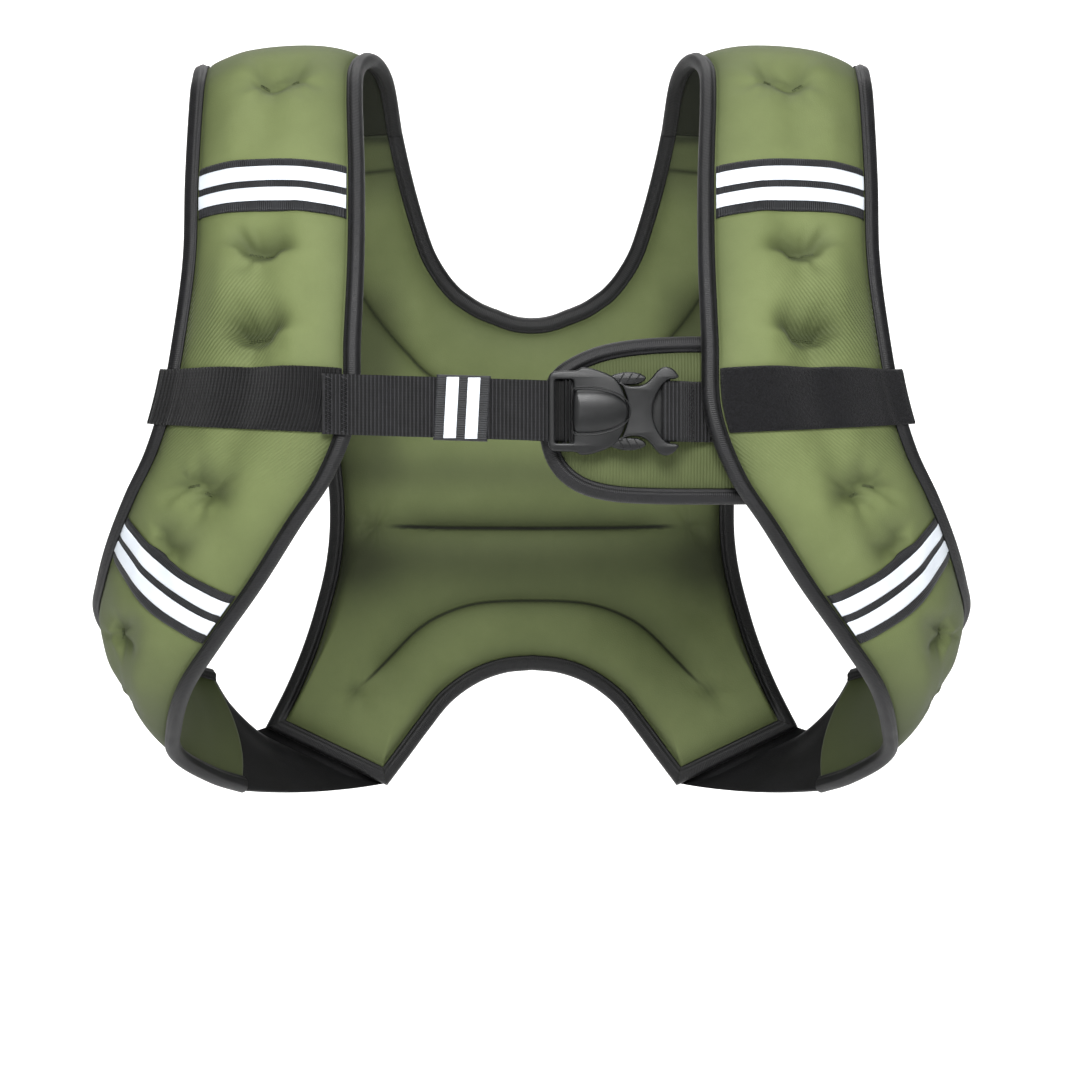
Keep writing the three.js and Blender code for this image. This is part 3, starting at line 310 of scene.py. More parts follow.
def strap_puff(fr, share):
    """How far the pad swells out and in, and how much painted shade lies in its tufts and near its edges."""
    inner = between_flanges(fr, share)
    long = long_at(fr["row"])[:, None]
    side = (share - 0.5) * fr["wide"][:, None]
    arch = np.sin(np.pi * inner) ** PUFF_EDGE
    down = smooth(long, long_at(2.6), long_at(4.2)) * smooth(-long, -long_at(14.5), -long_at(13))
    for inner_row, outer_row in TAPE_ROWS:
        down = down * (1 - bell(long - long_at(mix(inner_row, outer_row, share)), 24, 4))
    dent = 1.9 * down * bell(side - 3, 9) - 0.6 * down * bell(np.abs(side - 3) - 19, 9)
    pit_shade = np.zeros_like(arch)
    for k, (row, across, deep, half, slope) in enumerate(TUFTS):
        long0 = long_at(row)
        side0 = (across - 0.5) * float(column(STRAP, "wide", row)) * STRAP_WIDTH
        far, way, off = lies(side, -(long - long0), side0, 0, half, slope)
        above = bell(far, 9.5, 1.5)
        below = bell(far, 5.0, 1.3)
        pit = mix(below, above, smooth(off, -2.5, 2.5))
        dent += deep * (0.74 * pit + 0.4 * bell(far, 19))
        rays = np.cos(way * 3 + 1.7 * k) + 0.7 * np.cos(way * 5 + 2.1 * k) + 0.4 * np.cos(way * 8 + k)
        dent += (0.15 if row == PLAIN_TUFT else 0.75) * rays * bell(far - 9, 8) * (0.55 + 0.045 * deep)
        lip = bell(far - 6.5, 3.2) * smooth(-off, 0, 4)
        dent -= 1.3 * lip * deep / 10
        pit_shade = np.maximum(pit_shade, (0.35 + 0.06 * deep) * mix(below * 0.8, above, smooth(off, -1.5, 3)))
    press = np.zeros_like(arch)
    for inner_row, outer_row in TAPE_ROWS:
        middle = long_at(mix(inner_row, outer_row, share))
        press += bell(long - middle, 15, 4)
    chest = bell(long - long_at(CHEST_ROW), 19, 4)
    dent += 1.4 * press + 0.8 * chest
    swell = 1 + 0.055 * ripple(long, side, 3, 45, 120) + 0.03 * ripple(long, side, 5, 22, 50)
    edge = np.exp(-np.minimum(inner, 1 - inner) * fr["wide"][:, None] / 11)
    pucker = 0.35 * edge * np.sin(long / 7.3 + 1.5 * np.sin(long / 31)) * arch
    folds = 0
    for row0, side0, turn, size in (
        (3.2, 20, 10, 0.9), (4.6, 24, 4, 1.1), (5.6, -18, -6, 0.9), (6.5, 27, 3, 1.3), (7.3, -22, 14, 1.0),
        (8.9, 12, 24, 1.2), (9.9, -26, 30, 1.1), (10.9, 22, 20, 1.2), (12.9, 6, 26, 1.3), (13.6, -22, 12, 1.1),
    ):
        c, s = way_of(turn)
        du, dv = side - side0, long - long_at(row0)
        folds = folds + size * np.exp(-(((du * c + dv * s) / 8) ** 2) - ((dv * c - du * s) / 27) ** 2)
    puff = fr["puff"][:, None]
    swell = swell + 0.11 * folds
    out = np.maximum(PUFF_OUT * arch * swell - dent + pucker, 0) * puff
    under = np.maximum(PUFF_IN * arch * swell - 0.35 * dent, 0) * puff
    # Painted shade in the tuft pits and along the edges.
    dark = np.clip(0.9 * pit_shade + 0.5 * edge, 0, 1)
    return out, under, dark


def over_pad(rows, shares, lift):
    """Points above the pad's front face, for strips that lie on it."""
    fr = strap_frame(rows)
    shares = np.asarray(shares, float)
    if shares.ndim == 1:
        shares = np.repeat(shares[:, None], 1, axis=1)
    out, _, _ = strap_puff(fr, shares)
    high = FLANGE_THICK / 2 + out + lift
    return strap_point(fr, shares) + fr["normal"][:, None] * high[..., None]


# Meshes

def linked(name, data):
    """An object of the scene."""
    made = bpy.data.objects.new(name, data)
    bpy.context.scene.collection.objects.link(made)
    return made


def shown(name, mesh, look=None, level=True):
    mesh.polygons.foreach_set("use_smooth", [level] * len(mesh.polygons))
    if look is not None:
        mesh.materials.append(look)
    return linked(name, mesh)


def make(name, points, faces, uv=None, marks=None, material=None, side=1):
    """A mesh from points in millimetres. side -1 mirrors it."""
    points = np.asarray(points, float).reshape(-1, 3) * MM
    faces = np.asarray(faces, int)
    if side < 0:
        points = points * np.array([-1, 1, 1])
        faces = faces[:, ::-1]
    mesh = bpy.data.meshes.new(name)
    mesh.from_pydata(points.tolist(), [], faces.tolist())
    mesh.validate()
    if uv is not None:
        layer = mesh.uv_layers.new(name="cloth")
        index = np.empty(len(mesh.loops), int)
        mesh.loops.foreach_get("vertex_index", index)
        layer.data.foreach_set("uv", (np.asarray(uv, float).reshape(-1, 2)[index] * MM).ravel())
    for key, values in (marks or {}).items():
        attribute = mesh.attributes.new(key, "FLOAT", "POINT")
        attribute.data.foreach_set("value", np.asarray(values, float).ravel())
    return shown(name, mesh, material)


def grid_faces(rows, cols, start=0, flip=False, wrap=False):
    i, j = np.meshgrid(np.arange(rows - 1), np.arange(cols if wrap else cols - 1), indexing="ij")
    a = start + i * cols + j
    b = start + i * cols + (j + 1) % cols
    quads = np.stack([a, b, b + cols, a + cols], axis=-1).reshape(-1, 4)
    return quads[:, ::-1] if flip else quads


def slab(top, bottom, uv, marks=None):
    """Points, faces, uv and marks of a sheet with thickness. Its faces look out for a top on the normal's side."""
    rows, cols = top.shape[:2]
    lower = rows * cols
    ids = np.arange(lower).reshape(rows, cols)
    border = np.concatenate([ids[0, :-1], ids[:-1, -1], ids[-1, :0:-1], ids[:0:-1, 0]])
    after = np.roll(border, -1)
    wall = np.stack([after, border, lower + border, lower + after], axis=-1)
    faces = [grid_faces(rows, cols), grid_faces(rows, cols, lower, flip=True), wall]
    points = np.concatenate([top.reshape(-1, 3), bottom.reshape(-1, 3)])
    both = {key: np.concatenate([value[0].ravel(), value[1].ravel()]) for key, value in (marks or {}).items()}
    return points, np.concatenate(faces), np.concatenate([uv.reshape(-1, 2)] * 2), both


def outward(points, faces):
    p = np.asarray(points).reshape(-1, 3)
    a, b, c = p[faces[:, 0]], p[faces[:, 1]], p[faces[:, 2]]
    d = p[faces[:, -1]]
    size = np.einsum("ij,ij->i", a, np.cross(b, c)).sum() + np.einsum("ij,ij->i", a, np.cross(c, d)).sum()
    return faces if size > 0 else faces[:, ::-1]


def sweep(edge, into, normal, profile):
    """A closed tube with the profile (into, normal) at each frame. uv runs along it and round it."""
    profile = np.asarray(profile, float)
    around = len(profile)
    count = len(edge)
    points = (
        edge[:, None]
        + into[:, None] * profile[None, :, :1]
        + normal[:, None] * profile[None, :, 1:]
    )
    faces = grid_faces(count, around, wrap=True)
    long = lengths(edge)
    ring = lengths(profile)
    uv = stack(long[:, None], ring[None, :])
    tops = points.reshape(-1, 3)
    caps = []
    for start, end in ((0, False), ((count - 1) * around, True)):
        ids = np.arange(around) + start
        centre = len(tops)
        tops = np.concatenate([tops, tops[ids].mean(axis=0)[None]])
        uv = np.concatenate([uv.reshape(-1, 2), [[0, 0]]])
        nxt = np.roll(ids, -1)
        tri = np.stack([np.full(around, centre), ids, nxt, nxt], axis=-1)
        caps.append(tri[:, [0, 1, 2, 2]] if end else tri[:, [0, 2, 1, 1]])
    quads = outward(tops, np.concatenate([faces, *caps]))
    return tops, quads, uv


def put(made, node_names):
    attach(made, "root")
    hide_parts(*node_names)
    return made


def piece(name, parts, look, node, side=1, marks=None):
    """A closed piece that stands for one node of the CAD."""
    made = make(name, parts[0], outward(parts[0], parts[1]), parts[2], marks, look, side)
    return put(made, [node])


# The profile of a folded tape round an edge: its outside is rounded and a little full.
def binding_profile(thick):
    inside = thick / 2 + GAP
    high = inside + BINDING_THICK
    lip = BINDING_FACE - BINDING_TOP
    bends = np.linspace(math.pi / 2, -math.pi / 2, 13)
    turn = [(-BINDING_TOP + (1 - math.cos(a)) * 3.0, math.sin(a) * high) for a in bends]
    top = [
        (lip, inside), (lip + 0.15, high - 0.9), (lip - 0.25, high - 0.35), (lip - 0.9, high - 0.15),
        (lip - 1.5, high - 0.25), (lip - 2.1, high + 0.25), (lip * 0.55, high + 0.75), (lip * 0.38, high + 0.62),
    ]
    under = [(a, -n) for a, n in reversed(top)]
    return top + turn + under + [(-GAP, -inside), (-GAP, inside)]


# Materials

class Nodes:
    def __init__(self, name):
        self.material = bpy.data.materials.new(name)
        self.material.use_nodes = True
        self.tree = self.material.node_tree
        self.tree.nodes.clear()
        self.out = self.tree.nodes.new("ShaderNodeOutputMaterial")
        self.shader = self.add("BsdfPrincipled")
        self.link(self.shader.outputs[0], self.out.inputs["Surface"])

    def add(self, kind, **values):
        node = self.tree.nodes.new("ShaderNode" + kind)
        for key, value in values.items():
            if hasattr(node, key):
                setattr(node, key, value)
            else:
                self.give(node.inputs[key.replace("_", " ")], value)
        return node

    def give(self, socket, value):
        if isinstance(value, bpy.types.NodeSocket):
            self.link(value, socket)
        else:
            socket.default_value = value

    def link(self, a, b):
        self.tree.links.new(a, b)

    def math(self, operation, a, b=0.0, clamp=False):
        node = self.add("Math", operation=operation, use_clamp=clamp)
        self.give(node.inputs[0], a)
        self.give(node.inputs[1], b)
        return node.outputs[0]

    def place(self, kind="Object"):
        return self.add("TexCoord").outputs[kind]

    def scaled(self, value, by, plus):
        node = self.add("Math", operation="MULTIPLY_ADD")
        for socket, given in zip(node.inputs, (value, by, plus)):
            self.give(socket, given)
        return node.outputs[0]

    def noise(self, vector, scale, detail=3.0, rough=0.55):
        return self.add("TexNoise", Vector=vector, Scale=scale, Detail=detail, Roughness=rough).outputs[0]

    def ramp(self, value, *stops):
        node = self.add("ValToRGB")
        self.give(node.inputs[0], value)
        while len(node.color_ramp.elements) < len(stops):
            node.color_ramp.elements.new(0.5)
        for element, (at, colour) in zip(node.color_ramp.elements, stops):
            element.position = at
            element.color = (*colour, 1)
        return node.outputs[0]

    def blend(self, factor, a, b, kind="MIX"):
        node = self.add("Mix", data_type="RGBA", blend_type=kind)
        self.give(node.inputs[0], factor)
        self.give(node.inputs[6], a)
        self.give(node.inputs[7], b)
        return node.outputs[2]

    def mark(self, name):
        return self.add("Attribute", attribute_name=name).outputs["Fac"]

    def bump(self, height, strength, distance, under=None):
        node = self.add("Bump", Height=height, Strength=strength, Distance=distance)
        if under is not None:
            self.link(under, node.inputs["Normal"])
        return node.outputs[0]

    def cover(self, base, share, most, colour):
        return self.blend(self.math("MULTIPLY", share, most, True), base, (*colour, 1))

    def facing_shade(self, base, colour, most):
        """Painted shade: darker where the surface turns away from the eye."""
        facing = self.add("LayerWeight", Blend=0.5).outputs["Facing"]
        return self.cover(base, self.math("POWER", facing, 1.6), most, colour)

    def set(self, **values):
        for key, value in values.items():
            self.give(self.shader.inputs[key.replace("_", " ")], value)
        return self.material


def rgb(r, g, b, light=1.0):
    return tuple((c * light / 255) ** 2.2 for c in (r, g, b))


def wave(nodes, vector, axis, pitch, distort=0.0):
    """Even ribs a given number of metres apart."""
    scale = math.pi / 10 / pitch
    kinds = {"wave_type": "BANDS", "bands_direction": axis, "wave_profile": "SIN"}
    return nodes.add("TexWave", **kinds, Vector=vector, Scale=scale, Distortion=distort, Detail=1).outputs["Fac"]


def neoprene(name, light=1.0, turn=35, pitch=0.0019):
    n = Nodes(name)
    at = n.place()
    cloud, grain = n.noise(at, 22, 4, 0.6), n.noise(at, 1500, 2, 0.5)
    tones = ((0.30, (100, 109, 72)), (0.52, (105, 114, 76)), (0.74, (110, 119, 81)))
    base = n.ramp(cloud, *((stop, rgb(*tone, light)) for stop, tone in tones))
    base = n.cover(base, grain, 0.10, rgb(70, 84, 44))
    # Painted shade in the pad's creases, tuft pits and near its edges, as marked.
    base = n.cover(base, n.mark("dark"), 0.8, rgb(26, 32, 14))
    # Stretch ribs where the cloth is strained, with painted shade in their grooves; then painted shade where the
    # surface turns away from the eye and where it is marked as shaded.
    slanted = n.add("Mapping", Vector=n.place("UV"), Rotation=(0, 0, math.radians(turn))).outputs[0]
    strain = n.math("MULTIPLY", wave(n, slanted, "X", pitch, 0.5), n.mark("strain"))
    base = n.facing_shade(n.cover(base, strain, 0.34, rgb(52, 60, 30)), rgb(32, 38, 18), 0.75)
    base = n.cover(base, n.mark("shade"), 0.97, rgb(9, 11, 6))
    return n.set(
        Base_Color=base, Roughness=n.scaled(cloud, 0.12, 0.62), Sheen_Weight=0.1, Sheen_Roughness=0.4,
        Normal=n.bump(strain, 0.6, 0.0008, n.bump(grain, 0.25, 0.0006)), Sheen_Tint=(0.75, 0.82, 0.6, 1),
        Specular_IOR_Level=0.25,
    )


def binding_look(name="binding", light=1.0):
    n = Nodes(name)
    cloth = n.place("UV")
    cloud = n.noise(n.place(), 90, 3, 0.5)
    base = n.ramp(cloud, (0.3, rgb(11, 11, 13, light)), (0.7, rgb(22, 22, 25, light)))
    # Painted shade where the binding turns away from the eye and where it is marked as shaded.
    base = n.cover(n.facing_shade(base, rgb(4, 4, 5), 0.9), n.mark("shade"), 0.97, rgb(4, 4, 5))
    off = n.math("ABSOLUTE", n.math("SUBTRACT", n.add("SeparateXYZ", Vector=cloth).outputs[1], 0.0034))
    stitches = n.math("GREATER_THAN", wave(n, cloth, "X", 0.0032), 0.3)
    thread = n.math("MULTIPLY", n.math("LESS_THAN", off, 0.0005), stitches)
    weave = n.bump(wave(n, cloth, "X", 0.0011, 0.3), 0.3, 0.0004)
    return n.set(
        Base_Color=n.blend(thread, base, (*rgb(13, 13, 14), 1)), Roughness=n.scaled(cloud, 0.15, 0.46),
        Normal=n.bump(thread, 0.6, 0.0008, weave), Sheen_Weight=0.04, Sheen_Roughness=0.35, Specular_IOR_Level=0.4,
    )


def webbing_look(name, light=1.0):
    n = Nodes(name)
    cloth = n.place("UV")
    height = n.math("ADD", wave(n, cloth, "X", 0.0021, 0.04), n.scaled(wave(n, cloth, "Y", 0.0016, 0.3), 0.1, 0))
    cloud = n.noise(n.place(), 120, 3, 0.6)
    tone = n.math("MULTIPLY", n.math("ADD", height, n.math("MULTIPLY", cloud, 0.5)), 0.66)
    base = n.ramp(tone, (0.2, rgb(5, 5, 6)), (0.9, rgb(46, 46, 48, light)))
    # Painted shade where marked, such as in the buckle's slot.
    return n.set(
        Base_Color=n.cover(base, n.mark("shade"), 0.88, rgb(4, 4, 5)), Roughness=0.62,
        Normal=n.bump(height, 0.8, 0.0009), Sheen_Weight=0.05, Sheen_Roughness=0.5, Specular_IOR_Level=0.3,
    )


def tape_look():
    n = Nodes("tape")
    ribs = wave(n, n.place("UV"), "X", 0.0012, 0.2)
    base = n.ramp(n.noise(n.place(), 140, 3), (0.3, rgb(20, 21, 23)), (0.7, rgb(36, 37, 40)))
    return n.set(
        Base_Color=base, Roughness=0.55, Normal=n.bump(ribs, 0.5, 0.0006), Sheen_Weight=0.04,
        Specular_IOR_Level=0.4,
    )


def grained(name, cloud, low, high, rough, grain, bump, **more):
    """Two tones in soft clouds and a fine grain. The clouds add to the roughness too."""
    n = Nodes(name)
    at = n.place()
    clouds = n.noise(at, *cloud)
    base = n.ramp(clouds, (low[0], rgb(*low[1:])), (high[0], rgb(*high[1:])))
    normal = n.bump(n.noise(at, *grain), *bump)
    return n.set(Base_Color=base, Roughness=n.scaled(clouds, *rough), Normal=normal, **more)


def thread_look(name, pitch, low, high, rough):
    n = Nodes(name)
    twist = wave(n, n.place(), "DIAGONAL", pitch)
    base = n.ramp(twist, (0.2, rgb(*low)), (0.8, rgb(*high)))
    return n.set(Base_Color=base, Roughness=rough, Normal=n.bump(twist, 0.4, 0.0003))


GREEN = neoprene("neoprene")
# A darker copy of the neoprene for the back panel, which is seen from inside the vest: painted shade.
LINING_SHADED = neoprene("lining_shaded", 0.88)
BINDING = binding_look()
# A darker copy of the binding for the back panel's edges: painted shade.
BINDING_SHADED = binding_look("binding_shaded", 0.72)
WEBBING = webbing_look("webbing")
BAND = webbing_look("band", 0.62)
TAPE = tape_look()
THREAD = thread_look("thread", 0.0006, (44, 50, 27), (74, 83, 46), 0.6)
BLACK_THREAD = thread_look("black_thread", 0.0007, (20, 20, 21), (48, 49, 51), 0.5)
FUZZ = grained(
    "fuzz", (900, 4, 0.75), (0.35, 8, 8, 10), (0.65, 29, 29, 32), (0, 0.95), (900, 4, 0.75), (0.9, 0.0016),
    Sheen_Weight=0.08, Sheen_Roughness=0.6, Specular_IOR_Level=0.15,
)
# The faint emission is painted light: the reflective stripes glow a little.
STRIPE = grained(
    "reflective", (60, 3, 0.5), (0.3, 192, 198, 205), (0.7, 204, 209, 215), (0.14, 0.3), (2600, 2, 0.6),
    (0.15, 0.0003), Specular_IOR_Level=0.5, Emission_Color=(0.86, 0.93, 1, 1), Emission_Strength=0.04,
)
STRETCH = grained(
    "stretch", (40, 3, 0.6), (0.3, 9, 9, 10), (0.7, 18, 18, 20), (0.15, 0.6), (1400, 2, 0.6), (0.35, 0.0006),
    Sheen_Weight=0.05, Sheen_Roughness=0.5, Specular_IOR_Level=0.25,
)
PLASTIC = grained(
    "plastic", (160, 4, 0.6), (0.3, 13, 14, 15), (0.75, 23, 24, 25), (0.16, 0.33), (1800, 2, 0.5), (0.12, 0.0003),
    Specular_IOR_Level=0.38, Coat_Weight=0.06, Coat_Roughness=0.2,
)

SIDES = (("left", -1), ("right", 1))


# Camera, stage and light

camera = linked("camera", bpy.data.cameras.new("camera"))
camera.location = (0.0048, -2.4, -0.2573)
camera.rotation_euler = (math.pi / 2, 0, 0)
camera.data.sensor_width = 36
camera.data.lens = 140.6
camera.data.clip_end = 100
bpy.context.scene.camera = camera


def stage_look():
    n = Nodes("stage")
    cloud = n.noise(n.place(), 3, 2)
    base = n.ramp(cloud, (0, (0.93, 0.93, 0.93)), (1, (0.95, 0.95, 0.95)))
    return n.set(Base_Color=base, Roughness=0.9, Emission_Color=(1, 1, 1, 1), Emission_Strength=0.3)


def studio():
    low, wide, back, high = -0.60, 9.0, 3.2, 6.0
    points = [(-wide, -6, low), (wide, -6, low)]
    for a in np.linspace(0, math.pi / 2, 12):
        y = back + 1.2 * math.sin(a)
        z = low + 1.2 * (1 - math.cos(a))
        points += [(-wide, y, z), (wide, y, z)]
    points += [(-wide, back + 1.2, high), (wide, back + 1.2, high)]
    faces = [(2 * i, 2 * i + 1, 2 * i + 3, 2 * i + 2) for i in range(len(points) // 2 - 1)]
    floor = make("floor", np.array(points) / MM, faces, material=stage_look())
    world = bpy.data.worlds.new("studio")
    world.use_nodes = True
    world.node_tree.nodes["Background"].inputs[0].default_value = (1, 1, 1, 1)
    world.node_tree.nodes["Background"].inputs[1].default_value = 0.13
    bpy.context.scene.world = world
    lights = (
        ("key", (0, -1.2, 0.36), (0, 0, -0.22), 0.5, 19.5),
        ("top", (0, -0.5, 1.7), (0, 0, -0.15), 0.9, 17),
        ("left", (-1.9, -1.6, 0.5), (0.05, 0, -0.2), 0.7, 9),
        ("right", (1.9, -1.6, 0.5), (-0.05, 0, -0.2), 0.7, 9),
        ("backdrop", (0, 1.6, 2.4), (0, 4.4, 0), 2.4, 75),
        ("floor", (0, 1.8, 2.4), (0, 2.2, -0.6), 2.4, 34),
    )
    for name, at, to, size, power in lights:
        lamp = linked(name, bpy.data.lights.new(name, "AREA"))
        lamp.data.size = size
        lamp.data.energy = power
        lamp.location = at
        lamp.rotation_mode = "QUATERNION"
        lamp.rotation_quaternion = (Vector(to) - Vector(at)).to_track_quat("-Z", "Y")
    view = bpy.context.scene.view_settings
    view.view_transform = "Standard"
    view.gamma = 0.92
    view.exposure = 0.1


studio()

# The shoulder pads and their bindings

PAD_ROWS = row_at(np.linspace(0, FINE_LONG[-1], 440))
pad_frame = strap_frame(PAD_ROWS)


def pad_shares(fr, count=64):
    flange = (FLANGE_WIDE / fr["wide"])[:, None]
    t = (1 - np.cos(np.linspace(0, math.pi, count - 1))) / 2
    t = mix(np.linspace(0, 1, count - 1), t, 0.75)
    inner = flange + (1 - 2 * flange) * t[None]
    return np.concatenate([np.zeros((len(inner), 1)), inner, np.ones((len(inner), 1))], axis=1)


shares = pad_shares(pad_frame)
out, under, dark = strap_puff(pad_frame, shares)
flat_pad = strap_point(pad_frame, shares)
normal = pad_frame["normal"][:, None]
top = flat_pad + normal * (FLANGE_THICK / 2 + out)[..., None]
bottom = flat_pad - normal * (FLANGE_THICK / 2 + under)[..., None]
pad_long = long_at(PAD_ROWS)[:, None]
pad_side = (shares - 0.5) * pad_frame["wide"][:, None]
pad_uv = stack(pad_side, pad_long)
strain = bell(pad_long - long_at(6.9), 24) * smooth(pad_side, -22, 12)
strain = strain + 0.4 * bell(pad_long - long_at(8.6), 18)


def under_shoulder(points):
    """How deep in the shade of the shoulder a place is."""
    points = np.asarray(points, float)
    return smooth(points[..., 1], -18, 6) * smooth(points[..., 2], -85, -34)


# Painted shade on the pad: over its lower end, on its underside under the shoulder (most towards its inner edge), and a
# little more in the ribbed stretch between the tufts.
tail_shade = 0.5 * smooth(PAD_ROWS, 12.6, 15.5)[:, None] + np.zeros_like(dark)
shade = np.clip(0.35 + 0.5 * under_shoulder(bottom) + 0.35 * np.exp(-shares / 0.16), 0, 0.97) * under_shoulder(bottom)
shade = np.maximum(shade, 1.1 * tail_shade)
dark = np.clip(dark + 0.14 * np.minimum(strain, 1), 0, 1)
marks = {"shade": (0.95 * tail_shade, shade), "dark": (dark, 0.5 * dark), "strain": (strain, 0 * strain)}
pad_parts = slab(top, bottom, pad_uv, marks)

edge_rows = row_at(np.linspace(0, FINE_LONG[-1], 360))
edge_frame = strap_frame(edge_rows)
for tag, side in SIDES:
    pad = make(f"pad_{tag}", *pad_parts, GREEN, side)
    put(pad, [f"shoulder_pad_{tag}"])
    for name, share in (("inner", 0.0), ("outer", 1.0)):
        edge = strap_point(edge_frame, np.full((len(edge_rows), 1), share))[:, 0]
        into = edge_frame["across"] * (1 if share == 0 else -1)
        parts = sweep(edge, into, edge_frame["normal"], binding_profile(FLANGE_THICK))
        shaded = 0.85 * under_shoulder(parts[0])
        piece(f"edge_{name}_{tag}", parts, BINDING, f"binding_{name}_{tag}", side, {"shade": shaded})


# Strips on the pads

def lay_strip(inner, outer, wide, line_from, line_to, lift, thick, lines, over=False):
    """A strip across the pad with rounded long edges. One that runs over the outer tape also ends past it."""
    cols = 72
    fr_mid = strap_frame([mix(inner, outer, 0.5)])
    flange = FLANGE_WIDE / fr_mid["wide"][0]
    share = np.linspace(flange, 1 if over else 1 - flange, cols)
    middle = mix(inner, outer, share)
    if inner > outer:
        middle = middle - 0.2 * smooth(share, 0.5, 1.05)
    pace = strap_frame(middle)["pace"]
    line = np.linspace(line_from, line_to, lines)
    tops, bottoms, uvs = [], [], []
    for k, value in enumerate(line):
        rows = middle + (value - 0.5) * wide / pace
        fr = strap_frame(rows)
        round_off = 0.45 * thick if k in (0, lines - 1) else 0
        rise = np.zeros(cols)
        if over:
            rise = BINDING_TOP * smooth(share, 1 - 1.9 * flange, 1 - 1.1 * flange)
        puffs, _, _ = strap_puff(fr, share[:, None])
        base = strap_point(fr, share[:, None])[:, 0]
        high = FLANGE_THICK / 2 + puffs[:, 0] + rise
        tops.append(base + fr["normal"] * (high + lift + thick - round_off)[:, None])
        bottoms.append(base + fr["normal"] * (high + lift)[:, None])
        side = (share - 0.5) * fr_mid["wide"][0]
        if over:
            for face in (tops, bottoms):
                face[-1] = np.concatenate([face[-1], face[-1][-1:] + fr["across"][-1:] * BAND_PAST_EDGE])
            side = np.append(side, side[-1] + BAND_PAST_EDGE)
        uvs.append(stack(side, np.full(len(side), value * wide)))
    return slab(np.stack(tops), np.stack(bottoms), np.stack(uvs))


# How far each tape lies along the strap from its solid, and where its stripes run, as shares of its width.
TAPE_SHIFT = {"upper": 0.09, "lower": -0.2}
TAPE_SHARES = (-0.06, 1.14)
STRIPE_SHARES = {"a": (0.105, 0.433), "b": (0.599, 0.92)}
TAPE_LIFT, TAPE_THICK = 0.6, 1.0
STRIPE_LIFT, STRIPE_THICK = 1.75, 0.5
for (name, shift), (inner, outer) in zip(TAPE_SHIFT.items(), TAPE_ROWS):
    low, high = (shift + share for share in TAPE_SHARES)
    tape = lay_strip(inner, outer, TAPE_WIDE, low, high, TAPE_LIFT, TAPE_THICK, 25)
    bars = [
        (letter, lay_strip(inner, outer, TAPE_WIDE, shift + low, shift + high, STRIPE_LIFT, STRIPE_THICK, 11))
        for letter, (low, high) in STRIPE_SHARES.items()
    ]
    for tag, side in SIDES:
        piece(f"band_{name}_{tag}", tape, TAPE, f"tape_{name}_{tag}", side)
        for letter, bar in bars:
            node = f"stripe_{name}_{letter}_{tag}"
            piece(f"shine_{name}_{letter}_{tag}", bar, STRIPE, node, side)

band = lay_strip(*BAND_ROWS, WEBBING_WIDE, 0, 1, 0.7, WEBBING_THICK, 25, over=True)
piece("band_left", band, BAND, "loop_band_left", -1)
piece("band_right", band, FUZZ, "fuzzy_band_right")


# The back panel

def back_depth(x, z):
    share = np.asarray(z, float) / DROP
    zs = BACK_DEPTH["z"]
    row = np.clip(np.searchsorted(-zs, -share, side="left") - 1, 0, len(zs) - 2)
    place = row + (share - zs[row]) / (zs[row + 1] - zs[row])
    return column(BACK_DEPTH, "reach", place) * BACK_REACH - BACK_WRAP * (x / (0.64 * HALF_SPAN)) ** 2


def back_point(x, z):
    return stack(x, back_depth(x, z), z)


def back_normal(x, z):
    right = back_point(x + 2, z) - back_point(x - 2, z)
    up = back_point(x, z + 2) - back_point(x, z - 2)
    return unit(np.cross(up, right))


ARM_LINES, HEM_LINES, ARCH_LINES = 14, 3, 6
FINE = 9
SEAM_FADE = 3
seam_frame = strap_frame([0])
STRETCHES = ((BACK_ARM, 0, ARM_LINES), (BACK_HEM, ARM_LINES, HEM_LINES), (BACK_ARCH, ARM_LINES + HEM_LINES, ARCH_LINES))
LAST_LINE = ARM_LINES + HEM_LINES + ARCH_LINES
lines = {key: [] for key in BACK_KEYS.split()}
coarse = {key: [] for key in ("neckX", "neckZ", "outX", "outZ")}
line_at = []
for rows, first, cad_count in STRETCHES:
    skip = 1 if first else 0
    steps = np.arange(skip, cad_count * FINE + 1) / FINE
    place = steps / cad_count * (len(rows["neckX"]) - 1)
    for key in lines:
        lines[key] += list(column(rows, key, place))
    whole_steps = np.arange(skip, cad_count + 1) / cad_count * (len(rows["neckX"]) - 1)
    for key in coarse:
        coarse[key] += list(column(rows, key, whole_steps))
    line_at += list(first + steps)
lines = {key: np.array(value) for key, value in lines.items()}
coarse = {key: np.array(value) for key, value in coarse.items()}
line_at = np.array(line_at)
LINE_COUNT = len(line_at)
corners = [ARM_LINES * FINE, (ARM_LINES + HEM_LINES) * FINE]
fade = np.maximum(1 - line_at / SEAM_FADE, 0)


def refine(values):
    """Values at the part's own lines, made smooth between them but sharp at the corners."""
    values = np.asarray(values, float)
    done = []
    for _, first, cad_count in STRETCHES:
        part = {k: values[first:first + cad_count + 1, k] for k in range(values.shape[1])}
        steps = np.arange(1 if first else 0, cad_count * FINE + 1) / FINE
        done.append(np.stack([column(part, k, steps) for k in range(values.shape[1])], axis=-1))
    return np.concatenate(done)


